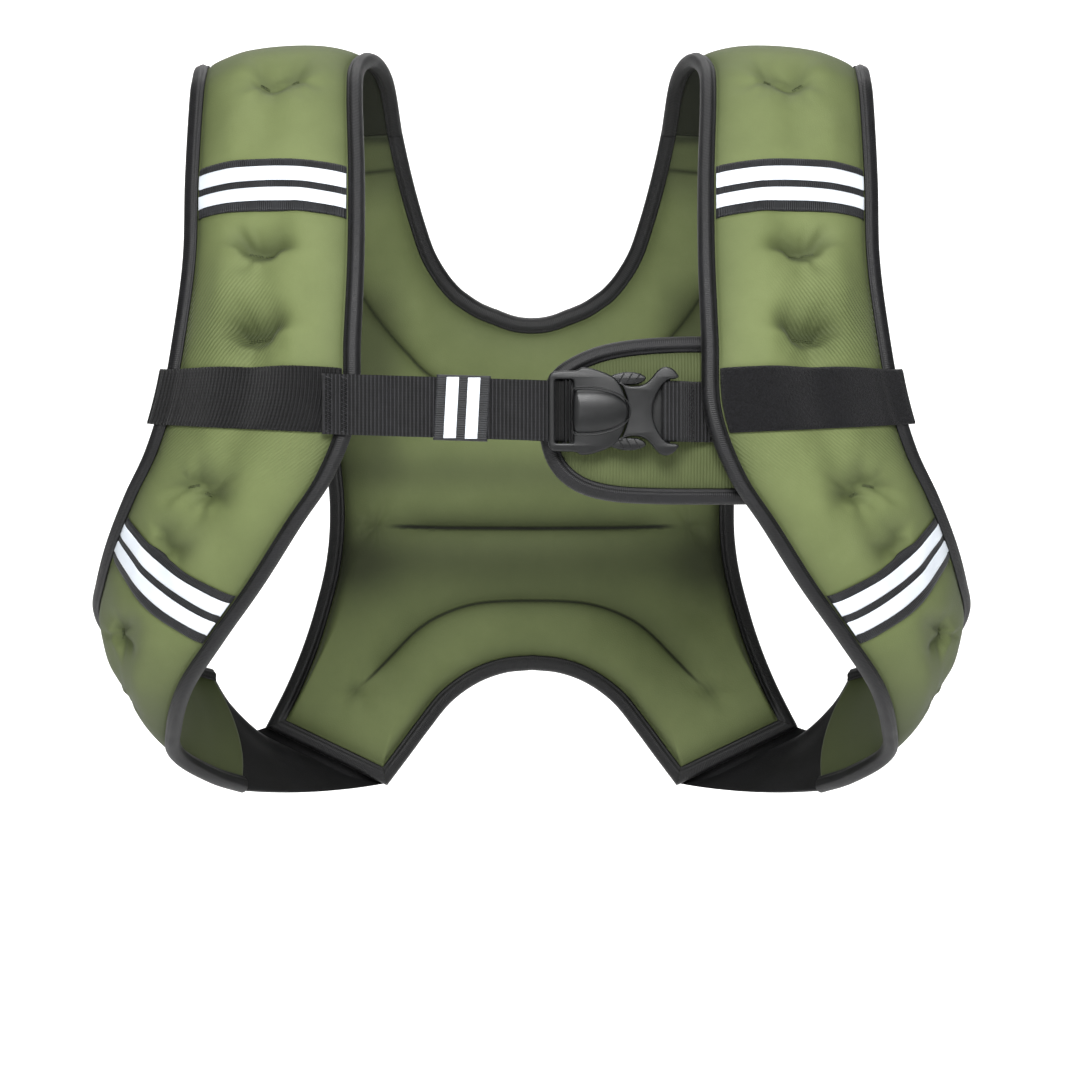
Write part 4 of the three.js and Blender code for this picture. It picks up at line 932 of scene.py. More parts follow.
def back_edge(key):
    flat = np.stack([coarse[f"{key}X"] * HALF_SPAN, coarse[f"{key}Z"] * DROP], axis=-1)
    sign = 1 if key == "neck" else -1
    step = unit(np.diff(flat, axis=0))
    inward = np.stack([-step[:, 1], step[:, 0]], axis=-1) * sign
    one = np.concatenate([inward[:1], inward])
    two = np.concatenate([inward, inward[-1:]])
    total = unit(one + two)
    way = total / np.einsum("ij,ij->i", total, two)[:, None]
    way[-1] = (0, -1 if key == "neck" else 1)
    edge = back_point(flat[:, 0], flat[:, 1])
    normals = back_normal(flat[:, 0], flat[:, 1])
    slope = back_point(flat[:, 0] + way[:, 0], flat[:, 1] + way[:, 1]) - edge
    into = slope - normals * np.einsum("ij,ij->i", slope, normals)[:, None]
    size = np.linalg.norm(way, axis=-1)[:, None]
    into = unit(into) * size
    seam_edge = strap_point(seam_frame, np.array([[0.0 if key == "neck" else 1.0]]))[0, 0]
    seam_edge = seam_edge - seam_frame["along"][0] * GAP
    seam_into = seam_frame["across"][0] * (1 if key == "neck" else -1)
    f = np.maximum(1 - np.arange(LAST_LINE + 1) / SEAM_FADE, 0)[:, None]
    edge = edge + (seam_edge - edge[0]) * f
    into = unit(mix(into, seam_into, f)) * (size * (1 - f) + f)
    normals = unit(mix(normals, seam_frame["normal"][0], f))
    return {"edge": refine(edge), "into": refine(into), "normal": unit(refine(normals))}


neck_edge = back_edge("neck")
out_edge = back_edge("out")
start = neck_edge["edge"] + neck_edge["into"] * FLANGE_WIDE
stop = out_edge["edge"] + out_edge["into"] * FLANGE_WIDE
STITCH_PATH = np.array([(0, -250.5), (50, -250.2), (76, -249.6), (92, -249), (150, -246)], float)
ARCH_PATH = np.array([
    (0, -293.4), (20, -293.7), (37, -295.6), (55, -302), (69, -311), (85, -328), (96, -339.5), (105, -347),
    (150, -370),
])


def soften(path, times=3):
    for _ in range(times):
        a, b = path[:-1], path[1:]
        middle = np.stack([mix(a, b, 0.25), mix(a, b, 0.75)], axis=1).reshape(-1, 2)
        path = np.concatenate([path[:1], middle, path[-1:]])
    return path


def crossing(path, low, high):
    """Where each line down the panel meets a stitched line, filled in evenly where it doesn't."""
    t_ = np.linspace(0, 1, 500)
    x = np.abs(mix(start[:, :1], stop[:, :1], t_[None]))
    z = mix(start[:, 2:], stop[:, 2:], t_[None])
    under_it = z < np.interp(x, path[:, 0], path[:, 1])
    met = under_it.any(axis=1) & ~under_it[:, 0]
    found = t_[np.argmax(under_it, axis=1)]
    index = np.arange(len(found))
    found = np.interp(index, index[met], found[met])
    kernel = np.hanning(9)
    found = np.where(met, found, np.convolve(np.pad(found, 4, mode="edge"), kernel / kernel.sum(), "valid"))
    return np.clip(found, low, high)


ARCH_PATH = soften(np.concatenate([ARCH_PATH[:1] * (-1, 1) - (20, 0.3), ARCH_PATH]))
ARCH_PATH = np.concatenate([[[0, -293.45]], ARCH_PATH[ARCH_PATH[:, 0] > 0.5]])
lines["stitch"] = crossing(STITCH_PATH, 0.3, 0.94)
lines["stitch"] = np.maximum(lines["stitch"], lines["seam"] + 0.03)
lines["arch"] = np.maximum(crossing(ARCH_PATH, 0.6, 0.97), lines["stitch"] + 0.025)
knots = [np.zeros(LINE_COUNT), lines["seam"], lines["stitch"], lines["arch"], np.ones(LINE_COUNT)]
spans = []
for k, steps in enumerate((24, 34, 24, 20)):
    t = np.linspace(0, 1, steps, endpoint=k == 3)
    t = mix(t, (1 - np.cos(t * math.pi)) / 2, 0.7)
    spans.append(mix(knots[k][:, None], knots[k + 1][:, None], t[None]))
places = np.concatenate(spans, axis=1)
long = np.linalg.norm(stop - start, axis=-1)[:, None]
at = mix(start[:, None], stop[:, None], places[..., None])
end_normal = unit(mix(neck_edge["normal"][:, None], out_edge["normal"][:, None], places[..., None]))
straight = back_point(at[..., 0], at[..., 2])
f = fade[:, None, None]
bent = mix(straight, at, f)
bent[:, 0] = at[:, 0]
bent[:, -1] = at[:, -1]
own = unit(mix(back_normal(at[..., 0], at[..., 2]), end_normal, f))
own[:, 0] = end_normal[:, 0]
own[:, -1] = end_normal[:, -1]

gap_in = np.minimum(places, 1 - places) * long
puff = 1 - np.exp(-gap_in / 10)
# Painted shade along the stitched lines, the seams and the yoke.
line_shade = np.zeros_like(puff)


def to_line(x, z, path):
    """Distance to a line in the panel's plane, how far along it that is, and the line's length."""
    best = np.full(x.shape, 1e9)
    where = np.zeros(x.shape)
    run_ = 0.0
    for a, b in zip(path[:-1], path[1:]):
        d = b - a
        size = float(np.hypot(*d))
        if size < 1e-6:
            continue
        t_ = np.clip(((x - a[0]) * d[0] + (z - a[1]) * d[1]) / size**2, 0, 1)
        gap = np.hypot(x - a[0] - t_ * d[0], z - a[1] - t_ * d[1])
        where = np.where(gap < best, run_ + t_ * size, where)
        best = np.minimum(best, gap)
        run_ += size
    return best, where, run_


px, pz = np.abs(at[..., 0]), at[..., 2]
tack_ends = []
seam_line = np.stack([
    np.abs(mix(start[:, 0], stop[:, 0], lines["seam"])), mix(start[:, 2], stop[:, 2], lines["seam"]),
], axis=-1)[lines["seamDeep"] > 0.15]
cut_shade = np.zeros_like(puff)
# The stitched lines: how deep each pulls, the widths of the painted shade along it and in its cut, how black the shade
# in the cut is, and how much painted shade lies just above the line.
BACK_LINES = (
    ("seam", seam_line, 0.42, 0.9, 0.8, 0.45, 0),
    ("stitch", STITCH_PATH[:-1], 0.62, 1.25, 1.5, 0.95, 0.85),
    ("arch", ARCH_PATH[ARCH_PATH[:, 0] < 106], 0.5, 0.9, 0.9, 0.7, 0.55),
)
for key, path, deep, fine, thick, black, above in BACK_LINES:
    far, along, total = to_line(px, pz, path)
    if key == "seam":
        tight = ends = smooth(along, 0, 40)
    else:
        ends = 1 - smooth(along, total - 34, total + 2)
        tight = 1 - smooth(along, total - 20, total + 1)
        ends = ends * (1 - smooth(far, 0, 60) * (along >= total - 1e-3))
        tack_ends.append(path[-1])
    puff = puff * (1 - ends * (deep * bell(far, 15, 1.5) + 0.36 * np.exp(-far / 3)))
    line_shade = np.maximum(line_shade, tight * bell(far, fine))
    line_shade = np.maximum(line_shade, ends * 0.42 * np.exp(-far / 5))
    cut_shade = np.maximum(cut_shade, black * tight * bell(far, thick))
    over = smooth(pz - np.interp(px, path[:, 0], path[:, 1]), -1, 3) if above else 0
    line_shade = np.maximum(line_shade, ends * over * above * np.exp(-far / 11))
wobble = 1 + 0.06 * ripple(px, pz, 11, 40, 120) + 0.03 * ripple(px, pz, 12, 15, 40)
# Puckers that run out from the ends of the stitched lines, with painted shade at those ends.
pull = np.zeros_like(puff)
for k, (x0, z0) in enumerate(tack_ends):
    dx, dz = px - x0, pz - z0
    reach_out = np.hypot(dx, dz)
    way = np.arctan2(dz, dx)
    pull += np.cos(way * 5 + k) * bell(reach_out - 10, 8) * 1.1
    puff = puff * (1 - 0.3 * bell(reach_out, 6, 1.3) - 0.2 * bell(reach_out, 16))
    line_shade = np.maximum(line_shade, (0.3, 0.6)[k] * bell(reach_out, 4, 1.5))
yoke = line_at[:, None] - 1.35 + 0.15 * places
# Painted shade along the yoke's line and where the panel meets the strap.
line_shade = np.maximum(line_shade, bell(yoke, 0.07))
line_shade = np.maximum(line_shade, 1.2 * bell(line_at[:, None], 0.3))
puff = puff * (0.35 + 0.65 * smooth(yoke, 0, 0.7)) * (1 - 0.8 * bell(yoke, 0.09))
rise = np.maximum(puff * wobble, 0) * np.maximum(lines["puff"][:, None], 0.3 * smooth(line_at[:, None], 0, 0.5))
inside = FLANGE_THICK / 2 + rise * BACK_PUFF_IN + pull * rise
outside = FLANGE_THICK / 2 + rise * BACK_PUFF_OUT
# Painted shade near the panel's edges.
edge_shade = 0.4 * np.exp(-gap_in / 8)


def rim(edges, lift):
    return (edges["edge"] + edges["normal"] * lift * FLANGE_THICK / 2)[:, None]


def whole(lift, high):
    middle = bent + own * (lift * high)[..., None]
    return np.concatenate([rim(neck_edge, lift), middle, rim(out_edge, lift)], axis=1)


def pad_out(a):
    return np.concatenate([a[:, :1], a, a[:, -1:]], axis=1)


def both_halves(half, flip=True):
    other = half[:-1][::-1].copy()
    if flip:
        other[..., 0] *= -1
    return np.concatenate([half, other])


back_out = both_halves(whole(1, outside))
back_in = both_halves(whole(-1, inside))
back_uv = stack(back_in[..., 0], back_in[..., 2])
back_crease_shade = both_halves(pad_out(np.clip(line_shade + edge_shade, 0, 1)), False)
quiet = np.zeros_like(back_crease_shade)
high = back_in[..., 2]
wide_out = np.abs(back_in[..., 0])
back_shade = 0.45 * smooth(high, -70, -40) + 0.34 * bell(high + 218, 12)
back_shade += 0.45 * smooth(wide_out, 66, 92) * smooth(-high, 92, 128) * smooth(high, -240, -190)
back_shade += 0.5 * bell(high + 270, 20)
back_shade += 0.3 * smooth(wide_out, 66, 105) * smooth(high, -320, -280) * smooth(-high, 215, 250)
back_shade = np.maximum(np.clip(back_shade, 0, 0.75), both_halves(pad_out(cut_shade), False))
parts = slab(
    back_out, back_in, back_uv,
    {"shade": (quiet, back_shade), "dark": (0.7 * back_crease_shade, back_crease_shade), "strain": (quiet, quiet)},
)
panel = piece("panel_back", parts, LINING_SHADED, "back_panel", marks=parts[3])


def cut(edges, a, b, start_by, end_by):
    edge = edges["edge"][a:b + 1].copy()
    edge[0] += unit(edge[1] - edge[0]) * start_by
    edge[-1] += unit(edge[-2] - edge[-1]) * end_by
    return edge, edges["into"][a:b + 1], edges["normal"][a:b + 1]


def both_edges(parts_of):
    flipped = [part[:-1][::-1] * np.array([-1, 1, 1]) for part in parts_of]
    return [np.concatenate([part, other]) for part, other in zip(parts_of, flipped)]


profile = binding_profile(FLANGE_THICK)
arm_end, hem_end = corners[0], corners[1]
arm = cut(out_edge, 0, arm_end, 0, 0.1)
hem = cut(out_edge, arm_end, hem_end, 0.1, 0.1)
arch = both_edges(cut(out_edge, hem_end, LINE_COUNT - 1, 0.1, 0))
neck = both_edges(cut(neck_edge, 0, LINE_COUNT - 1, 0, 0))
for name, node, frames in (("edge_neck", "binding_neck", neck), ("edge_arch", "binding_arch", arch)):
    piece(name, sweep(*frames, profile), BINDING_SHADED, node)
for name, frames in (("armhole", arm), ("hem", hem)):
    parts = sweep(*frames, profile)
    for tag, side in SIDES:
        piece(f"edge_{name}_{tag}", parts, BINDING_SHADED, f"binding_{name}_{tag}", side)


# The side panels

strap_end = strap_frame([STRAP_LAST])
hem_edges = {key: out_edge[key][arm_end:hem_end + 1] for key in out_edge}


def side_row(share, f):
    start_at = strap_point(strap_end, share[None])[0] + strap_end["along"][0] * GAP
    place = (1 - share) * (len(hem_edges["edge"]) - 1)
    i = np.minimum(np.floor(place).astype(int), len(hem_edges["edge"]) - 2)
    g = (place - i)[:, None]
    edge = mix(hem_edges["edge"][i], hem_edges["edge"][i + 1], g)
    into = mix(hem_edges["into"][i], hem_edges["into"][i + 1], g)
    facing = unit(mix(hem_edges["normal"][i], hem_edges["normal"][i + 1], g))
    behind = FLANGE_THICK / 2 + BINDING_TOP + GAP + SIDE_THICK / 2
    below = SIDE_BELOW * smooth(share, -0.05, 0.3)[:, None]
    end_at = edge + facing * behind - into * below
    point = mix(start_at, end_at, f)
    point[:, 2] -= 4 * f * (1 - f) * (share * 4 + (1 - share) * 3)
    facing_here = unit(mix(strap_end["normal"][0], facing, min(f * 1.5, 1)))
    return point, facing_here, into


side_share = np.linspace(0, 1, 40)
middles, facings = [], []
for f_ in np.linspace(0, 1, 44):
    point, facing_here, into = side_row(side_share, f_)
    sag = 1.1 * np.sin(side_share * 13 + 2 * f_) * math.sin(math.pi * f_) * bell(side_share - 0.6, 0.35)
    middles.append(point + facing_here * sag[:, None])
    facings.append(facing_here)
for step in (0.5, 1):
    middles.append(point + into * (SIDE_BELOW + SIDE_TUCK) * step)
    facings.append(facing_here)
middles, facings = np.stack(middles), np.stack(facings)
side_uv = stack(np.arange(len(middles))[:, None] * 3.0, side_share[None] * 70)
parts = slab(middles + facings * SIDE_THICK / 2, middles - facings * SIDE_THICK / 2, side_uv)
side_flat = float(np.linalg.norm(np.diff(middles, axis=0), axis=-1).sum(axis=0).mean()) * MM
side_tall = float(np.linalg.norm(np.diff(middles, axis=1), axis=-1).sum(axis=1).mean()) * MM
for tag, side in SIDES:
    made = piece(f"stretch_{tag}", parts, STRETCH, f"side_panel_{tag}", side)


# The chest strap

chest = strap_frame([CHEST_ROW])
chest_edge = strap_point(chest, np.array([[0.0]]))[0, 0]
EDGE_X, _, CHEST_Z = chest_edge
BUCKLE_Z = CHEST_Z - CHEST_SAG
BUCKLE_X = BUCKLE_PLACE * EDGE_X
web_lo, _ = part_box("chest_webbing_left")
WEB_FRONT = web_lo[1] / MM
WEB_BACK = WEB_FRONT + WEBBING_THICK
bar_left = BUCKLE_X - 0.36 * BUCKLE_LONG
bar_right = BUCKLE_X + 0.41 * BUCKLE_LONG
BAR_WIDE = 0.04 * BUCKLE_LONG
LAYER = WEB_BACK + GAP + BAR_THICK + GAP
LAYER_BACK = LAYER + WEBBING_THICK
web_start = -EDGE_X - WEBBING_LAP
turn_left = bar_left + BAR_WIDE / 2 + GAP
turn_out = turn_left + WEBBING_THICK


def hang(x):
    f_ = np.clip((x - web_start) / (bar_left - web_start), 0, 1)
    return CHEST_Z - CHEST_SAG * f_


def run(points, pitch=1.6):
    """Points at an even pitch along a polyline."""
    points = np.asarray(points, float)
    long_ = lengths(points)
    at_ = np.linspace(0, long_[-1], max(int(long_[-1] / pitch), 4))
    return np.stack([np.interp(at_, long_, points[:, k]) for k in range(points.shape[1])], axis=-1)


def ribbon(path, level):
    """The webbing along a path in x and y, with soft edges. level gives its middle height at each x."""
    path = run(path)
    step = np.gradient(path, axis=0)
    side = unit(np.stack([step[:, 1], -step[:, 0]], axis=-1))
    v = np.linspace(-0.5, 0.5, 29)[:, None]
    half = WEBBING_THICK / 2 * (1 - np.clip((np.abs(v) - 0.46) / 0.04, 0, 1) ** 2 * 0.5)
    z = level(path[:, 0]) + v * WEBBING_WIDE
    front_, back_ = (
        stack(path[:, 0] + sign * side[:, 0] * half, path[:, 1] + sign * side[:, 1] * half, z) for sign in (1, -1)
    )
    return slab(front_, back_, stack(lengths(path)[None], v * WEBBING_WIDE))


middle_front = WEB_FRONT + WEBBING_THICK / 2
middle_back = LAYER + WEBBING_THICK / 2
bend_radius = (middle_back - middle_front) / 2


def round_bar(x, way):
    """The webbing's bend round a bar, from its front run to the back one."""
    return [
        (x + way * bend_radius * math.sin(a), middle_front + bend_radius * (1 - math.cos(a)))
        for a in np.linspace(0, math.pi, 15)
    ]


arc = round_bar(turn_left + WEBBING_THICK / 2 - bend_radius, 1)
long_path = [(web_start, middle_front), *arc, (turn_out - FOLD_BACK, middle_back)]
parts = ribbon(long_path, hang)
# Painted shade on the webbing where it lies in the buckle's slot.
slot_shade = smooth(parts[0][:, 0], bar_left - 9, bar_left - 6.5)
piece("strap_long", parts, WEBBING, "chest_webbing_left", marks={"shade": slot_shade})

turn_right = bar_right - BAR_WIDE / 2 - GAP
behind_edge = FLANGE_THICK / 2 + BINDING_TOP + GAP


def tuck(into_by, back):
    p = chest_edge + chest["across"][0] * into_by - chest["normal"][0] * (behind_edge + TUCK_ROOM + back)
    return p[:2]


join_x = bar_right + 7
near_by, far_by = tuck(-4, WEBBING_THICK), tuck(8, WEBBING_THICK)
front_leg = [far_by - (0, 0.8), near_by - (0, 0.8), (join_x, middle_front + 0.9), (bar_right + 1, middle_front)]
back_leg = [(bar_right + 1, middle_back), (join_x, middle_back - 0.9), near_by + (0, 0.8), far_by + (0, 0.8)]
arc = round_bar(turn_right - WEBBING_THICK / 2 + bend_radius, -1)
parts = ribbon([*front_leg, *arc, *back_leg], lambda x: BUCKLE_Z)
piece("strap_short", parts, WEBBING, "chest_webbing_right")

# The tape sleeve round the long strap and its two stripes.
tape_middle = web_start + CHEST_TAPE_PLACE * (bar_left - web_start)


def round_box(half, corner, centre, name, look):
    mesh = bpy.data.meshes.new(name)
    b = bmesh.new()
    bmesh.ops.create_cube(b, size=2)
    bmesh.ops.scale(b, vec=half, verts=b.verts)
    bmesh.ops.bevel(b, geom=b.edges[:], offset=corner, segments=3, profile=0.5, affect="EDGES")
    bmesh.ops.subdivide_edges(b, edges=b.edges[:], cuts=2, use_grid_fill=True)
    bmesh.ops.translate(b, vec=centre, verts=b.verts)
    bmesh.ops.scale(b, vec=(MM, MM, MM), verts=b.verts)
    b.to_mesh(mesh)
    b.free()
    return shown(name, mesh, look)


web_mid = (WEB_FRONT + WEB_BACK) / 2
xs = np.linspace(tape_middle - CHEST_TAPE_WIDE / 2, tape_middle + CHEST_TAPE_WIDE / 2, 25)
there_and_back = np.concatenate([xs, xs[::-1]])
LEAN = 0.055


def sleeve_ring(out_by, corner):
    """The sleeve's section in y and z, a given way outside the webbing."""
    ys, zs = WEBBING_THICK / 2 + out_by - corner, WEBBING_WIDE / 2 + out_by - corner
    ring = []
    for sy, sz, turn in ((-1, 1, 90), (1, 1, 0), (1, -1, -90), (-1, -1, -180)):
        for c, s in (way_of(turn + 90 * (1 - a)) for a in np.linspace(0, 1, 4)):
            ring.append((sy * ys + corner * c, sz * zs + corner * s))
    return np.array(ring).T[..., None]


outer_ring, inner_ring = sleeve_ring(1.3, 0.9), sleeve_ring(0.35, 0.3)
y, z = np.concatenate([np.repeat(ring, len(xs), axis=-1) for ring in (outer_ring, inner_ring)], axis=-1)
pts = stack(there_and_back + LEAN * z, web_mid + y, hang(there_and_back) + z)
quads = grid_faces(len(z) + 1, len(there_and_back), wrap=True) % z.size
piece("sleeve_chest", (pts, quads, stack(z, there_and_back)), TAPE, "tape_chest")
for letter in ("a", "b"):
    lo, hi = (np.array(corner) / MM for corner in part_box(f"stripe_chest_{letter}"))
    centre = (lo + hi) / 2
    centre[1] = web_mid - WEBBING_THICK / 2 - 1.8
    half = ((hi[0] - lo[0]) / 2 - 0.35, 0.4, (hi[2] - lo[2]) / 2)
    made = round_box(half, 0.25, centre, f"shine_chest_{letter}", STRIPE)
    for corner in made.data.vertices:
        corner.co.x += LEAN * (corner.co.z - centre[2] * MM)
    put(made, [f"stripe_chest_{letter}"])


# The buckle

BUCKLE_BACK = LAYER_BACK + 0.2
BUCKLE_FRONT = BUCKLE_BACK - BUCKLE_DEEP
WELD = 1e-6


def plate(outline, front, back, holes=(), bevel=0.8):
    """A bevelled plate from an outline in x and z and the y of its two faces."""
    curve = bpy.data.curves.new("plate", "CURVE")
    curve.dimensions = "2D"
    curve.fill_mode = "BOTH"
    curve.extrude = ((back - front) / 2 - bevel) * MM
    curve.bevel_depth = bevel * MM
    curve.bevel_resolution = 3
    curve.offset = -bevel * MM
    for loop in (outline, *holes):
        spline = curve.splines.new("POLY")
        spline.points.add(len(loop) - 1)
        for point, (x, z) in zip(spline.points, loop):
            point.co = (x * MM, z * MM, 0, 1)
        spline.use_cyclic_u = True
    temp = linked("plate", curve)
    graph = bpy.context.evaluated_depsgraph_get()
    mesh = bpy.data.meshes.new_from_object(temp.evaluated_get(graph))
    bpy.data.objects.remove(temp)
    bpy.data.curves.remove(curve)
    for vertex in mesh.vertices:
        x, z, y = vertex.co
        vertex.co = (x, (front + back) / 2 * MM - y, z)
    return mesh


def rounded(points, radius=1.0, steps=4):
    """The outline with its corners rounded."""
    pts_ = [np.array(p, float) for p in points]
    done = []
    for i, p in enumerate(pts_):
        a, c = pts_[i - 1], pts_[(i + 1) % len(pts_)]
        da, dc = a - p, c - p
        la, lc = np.linalg.norm(da), np.linalg.norm(dc)
        r = min(radius, la * 0.45, lc * 0.45)
        s_, e_ = p + da / la * r, p + dc / lc * r
        for t_ in np.linspace(0, 1, steps):
            done.append((1 - t_) ** 2 * s_ + 2 * t_ * (1 - t_) * p + t_**2 * e_)
    return done


def about(points, mirror=True):
    """Half an outline as shares of the buckle, made whole and in millimetres."""
    half = [(x * BUCKLE_LONG + BUCKLE_X, z * BUCKLE_WIDE) for x, z in points]
    if mirror:
        half = half + [(x, -z) for x, z in reversed(half) if abs(z) > 1e-6]
    return [(x, z + BUCKLE_Z) for x, z in half]


def joined(name, meshes, look, weld=0.0):
    """One object from several meshes. Where they are welded, it is smooth but for its sharp edges."""
    mesh = bpy.data.meshes.new(name)
    b = bmesh.new()
    for part in meshes:
        b.from_mesh(part)
    if weld:
        bmesh.ops.remove_doubles(b, verts=b.verts, dist=weld)
    bmesh.ops.recalc_face_normals(b, faces=b.faces)
    b.to_mesh(mesh)
    b.free()
    made = shown(name, mesh, look, weld > 0)
    if weld:
        mesh.set_sharp_from_angle(angle=math.radians(35))
    return made


def upright(x0, x1, half):
    """The outline of a rectangle with its middle at the buckle's height."""
    low, high = BUCKLE_Z - half, BUCKLE_Z + half
    return [(x0, low), (x1, low), (x1, high), (x0, high)]


def bullet(angle, rx, rz):
    """The outline of the raised button: blunt on its left and drawn out to a round tip on its right."""
    c, s_ = math.cos(angle), math.sin(angle)
    if c >= 0:
        return rx * 1.72 * abs(c) ** 0.92, rz * math.copysign(abs(s_) ** 0.86, s_)
    return -rx * 0.42 * abs(c) ** 0.3, rz * math.copysign(abs(s_) ** 0.8, s_)


def dome_mesh(cx, cy, cz, rx, ry, rz):
    around, rings = 96, 26
    x, z = np.array([bullet(2 * math.pi * j / around, rx, rz) for j in range(around)]).T
    r = np.linspace(0, 1, rings + 1)[:, None]
    height = np.maximum(1 - r**2.6, 0) ** 0.5
    dome = stack(cx + x * r, cy - ry * height * (1 - 0.30 * (x * r) / (1.72 * rx)), cz + z * r)
    points = np.concatenate([dome, dome[-1:] + (0, 3, 0)])
    faces = [tuple(q) for q in grid_faces(rings + 2, around, wrap=True)]
    faces.append(tuple((rings + 1) * around + j for j in range(around)))
    mesh = bpy.data.meshes.new("dome")
    mesh.from_pydata((points.reshape(-1, 3) * MM).tolist(), [], faces)
    return mesh


def rim_mesh(cx, cy, cz, rx, rz):
    """A fine raised rim round the button, which leaves a groove between them."""
    loop_ = []
    for a in np.linspace(-2.35, 2.35, 90):
        x, z = bullet(a, rx, rz)
        out = math.hypot(x, z)
        loop_.append((cx + x * (1 + 1.25 / out), cy, cz + z * (1 + 1.25 / out)))
    return tube_mesh(np.array(loop_), 0.42, 8)


def tube_mesh(points, radius, steps=8):
    points = np.asarray(points, float)
    way = unit(np.gradient(points, axis=0))
    up = np.where(np.abs(way[:, 2:]) > 0.9, np.array([[1.0, 0, 0]]), np.array([[0, 0, 1.0]]))
    one = unit(np.cross(way, up))
    two = np.cross(way, one)
    a = np.linspace(0, 2 * math.pi, steps, endpoint=False)
    round_it = one[:, None] * np.cos(a)[None, :, None] + two[:, None] * np.sin(a)[None, :, None]
    ring_ = points[:, None] + radius * round_it
    faces_ = [tuple(q) for q in grid_faces(len(points), steps, wrap=True)]
    faces_.append(tuple(range(steps))[::-1])
    faces_.append(tuple((len(points) - 1) * steps + j for j in range(steps)))
    mesh = bpy.data.meshes.new("tube")
    mesh.from_pydata((ring_.reshape(-1, 3) * MM).tolist(), [], faces_)
    return mesh


front = BUCKLE_FRONT + 1.2
back = BUCKLE_BACK - 0.4
body_outline = about([
    (-0.478, 0.39), (-0.462, 0.435), (-0.43, 0.455), (-0.27, 0.462), (-0.235, 0.50), (-0.16, 0.49), (-0.06, 0.44),
    (0.0, 0.395), (0.035, 0.35), (0.07, 0.26), (0.098, 0.15), (0.112, 0.0),
])
slot_high = (WEBBING_WIDE + 1.8) / 2
slot_from = BUCKLE_X - 0.428 * BUCKLE_LONG
slot_to = turn_out + 1.6
bar_faces = (WEB_BACK + GAP, WEB_BACK + GAP + BAR_THICK)
bar = upright(bar_left - BAR_WIDE / 2, bar_left + BAR_WIDE / 2, slot_high + 1)
dome_x = BUCKLE_X - 0.219 * BUCKLE_LONG
prong_parts = [
    plate(rounded(body_outline, 2.2), front, back, [rounded(upright(slot_from, slot_to, slot_high), 1.4)], 1.1),
    plate(rounded(bar, 0.3), *bar_faces, (), 0.6),
    dome_mesh(dome_x, front + 0.2, BUCKLE_Z, 0.193 * BUCKLE_LONG, 3.6, 0.25 * BUCKLE_WIDE),
    rim_mesh(dome_x, front - 0.05, BUCKLE_Z, 0.193 * BUCKLE_LONG, 0.25 * BUCKLE_WIDE),
]
arm_outline = [
    (-0.02, 0.302), (-0.02, 0.40), (0.03, 0.428), (0.09, 0.446), (0.16, 0.444), (0.215, 0.42), (0.252, 0.388),
    (0.238, 0.345), (0.19, 0.308), (0.13, 0.302),
]
for sign in (1, -1):
    outline = about([(x, z * sign) for x, z in arm_outline], mirror=False)
    prong_parts.append(plate(rounded(outline, 1.2, 4), front + 0.9, back - 0.4, (), 0.9))
    for x in (0.06, 0.12, 0.18):
        (x0, z0), (x1, z1) = about([(x - 0.02, 0.315 * sign), (x + 0.025, 0.43 * sign)], mirror=False)
        prong_parts.append(tube_mesh(np.linspace((x0, front + 1, z0), (x1, front + 1, z1), 8), 0.42))
post = about([(0.0, 0.115), (0.25, 0.115)])
prong_parts.append(plate(rounded(post, 0.8), BUCKLE_FRONT + 4, BUCKLE_FRONT + 6.8, (), 0.4))
shade_plate = upright(slot_to - 2.6, slot_to + 1, slot_high + 0.5)
prong_parts.append(plate(rounded(shade_plate, 0.3), back - 1.6, back - 0.5, (), 0.3))
for x in (BUCKLE_X - 25.0, BUCKLE_X - 22.9):
    ends = [(x, front + 2.2, BUCKLE_Z + z) for z in (-slot_high, slot_high)]
    prong_parts.append(tube_mesh(np.linspace(*ends, 8), 0.5))
put(joined("buckle_male", prong_parts, PLASTIC, WELD), ["buckle_prongs"])

receptacle_outline = about([
    (0.118, 0.0), (0.104, 0.16), (0.077, 0.27), (0.046, 0.345), (0.085, 0.305), (0.135, 0.283), (0.20, 0.287),
    (0.25, 0.32), (0.29, 0.38), (0.325, 0.45), (0.36, 0.495), (0.40, 0.508), (0.445, 0.485), (0.475, 0.44),
    (0.495, 0.39), (0.47, 0.372), (0.41, 0.365), (0.365, 0.30), (0.325, 0.20), (0.302, 0.10), (0.297, 0.0),
])
bar = upright(bar_right - BAR_WIDE / 2, bar_right + BAR_WIDE / 2, slot_high + 1.5)
shade_plate = upright(BUCKLE_X + 0.27 * BUCKLE_LONG, BUCKLE_X + 0.372 * BUCKLE_LONG, 0.33 * BUCKLE_WIDE)
receptacle_parts = [
    plate(rounded(receptacle_outline, 1.2), front, back, (), 1.0),
    plate(rounded(bar, 0.3), *bar_faces, (), 0.6),
    plate(rounded(shade_plate, 0.3), back - 1.4, back - 0.4, (), 0.3),
]
put(joined("buckle_female", receptacle_parts, PLASTIC, WELD), ["buckle_receptacle"])


# The padded tongue behind the buckle

tongue_end = tuck(8, 2 * WEBBING_THICK + GAP + BINDING_TOP + TONGUE_ROOM)
tongue_x = EDGE_X + 8.4 - TONGUE_LONG
tongue_left_y = BUCKLE_BACK + GAP + TONGUE_PUFF
lean = math.atan2(tongue_end[1] - tongue_left_y, tongue_end[0] - tongue_x)
tongue_z = BUCKLE_Z - 0.05 * TONGUE_HIGH


def leaned(points):
    points = np.asarray(points, float)
    c, s = math.cos(lean), math.sin(lean)
    x = points[..., 0] * c - points[..., 1] * s + tongue_x
    y = points[..., 0] * s + points[..., 1] * c + tongue_left_y + TONGUE_THICK / 2
    return stack(x, y, points[..., 2] + tongue_z)


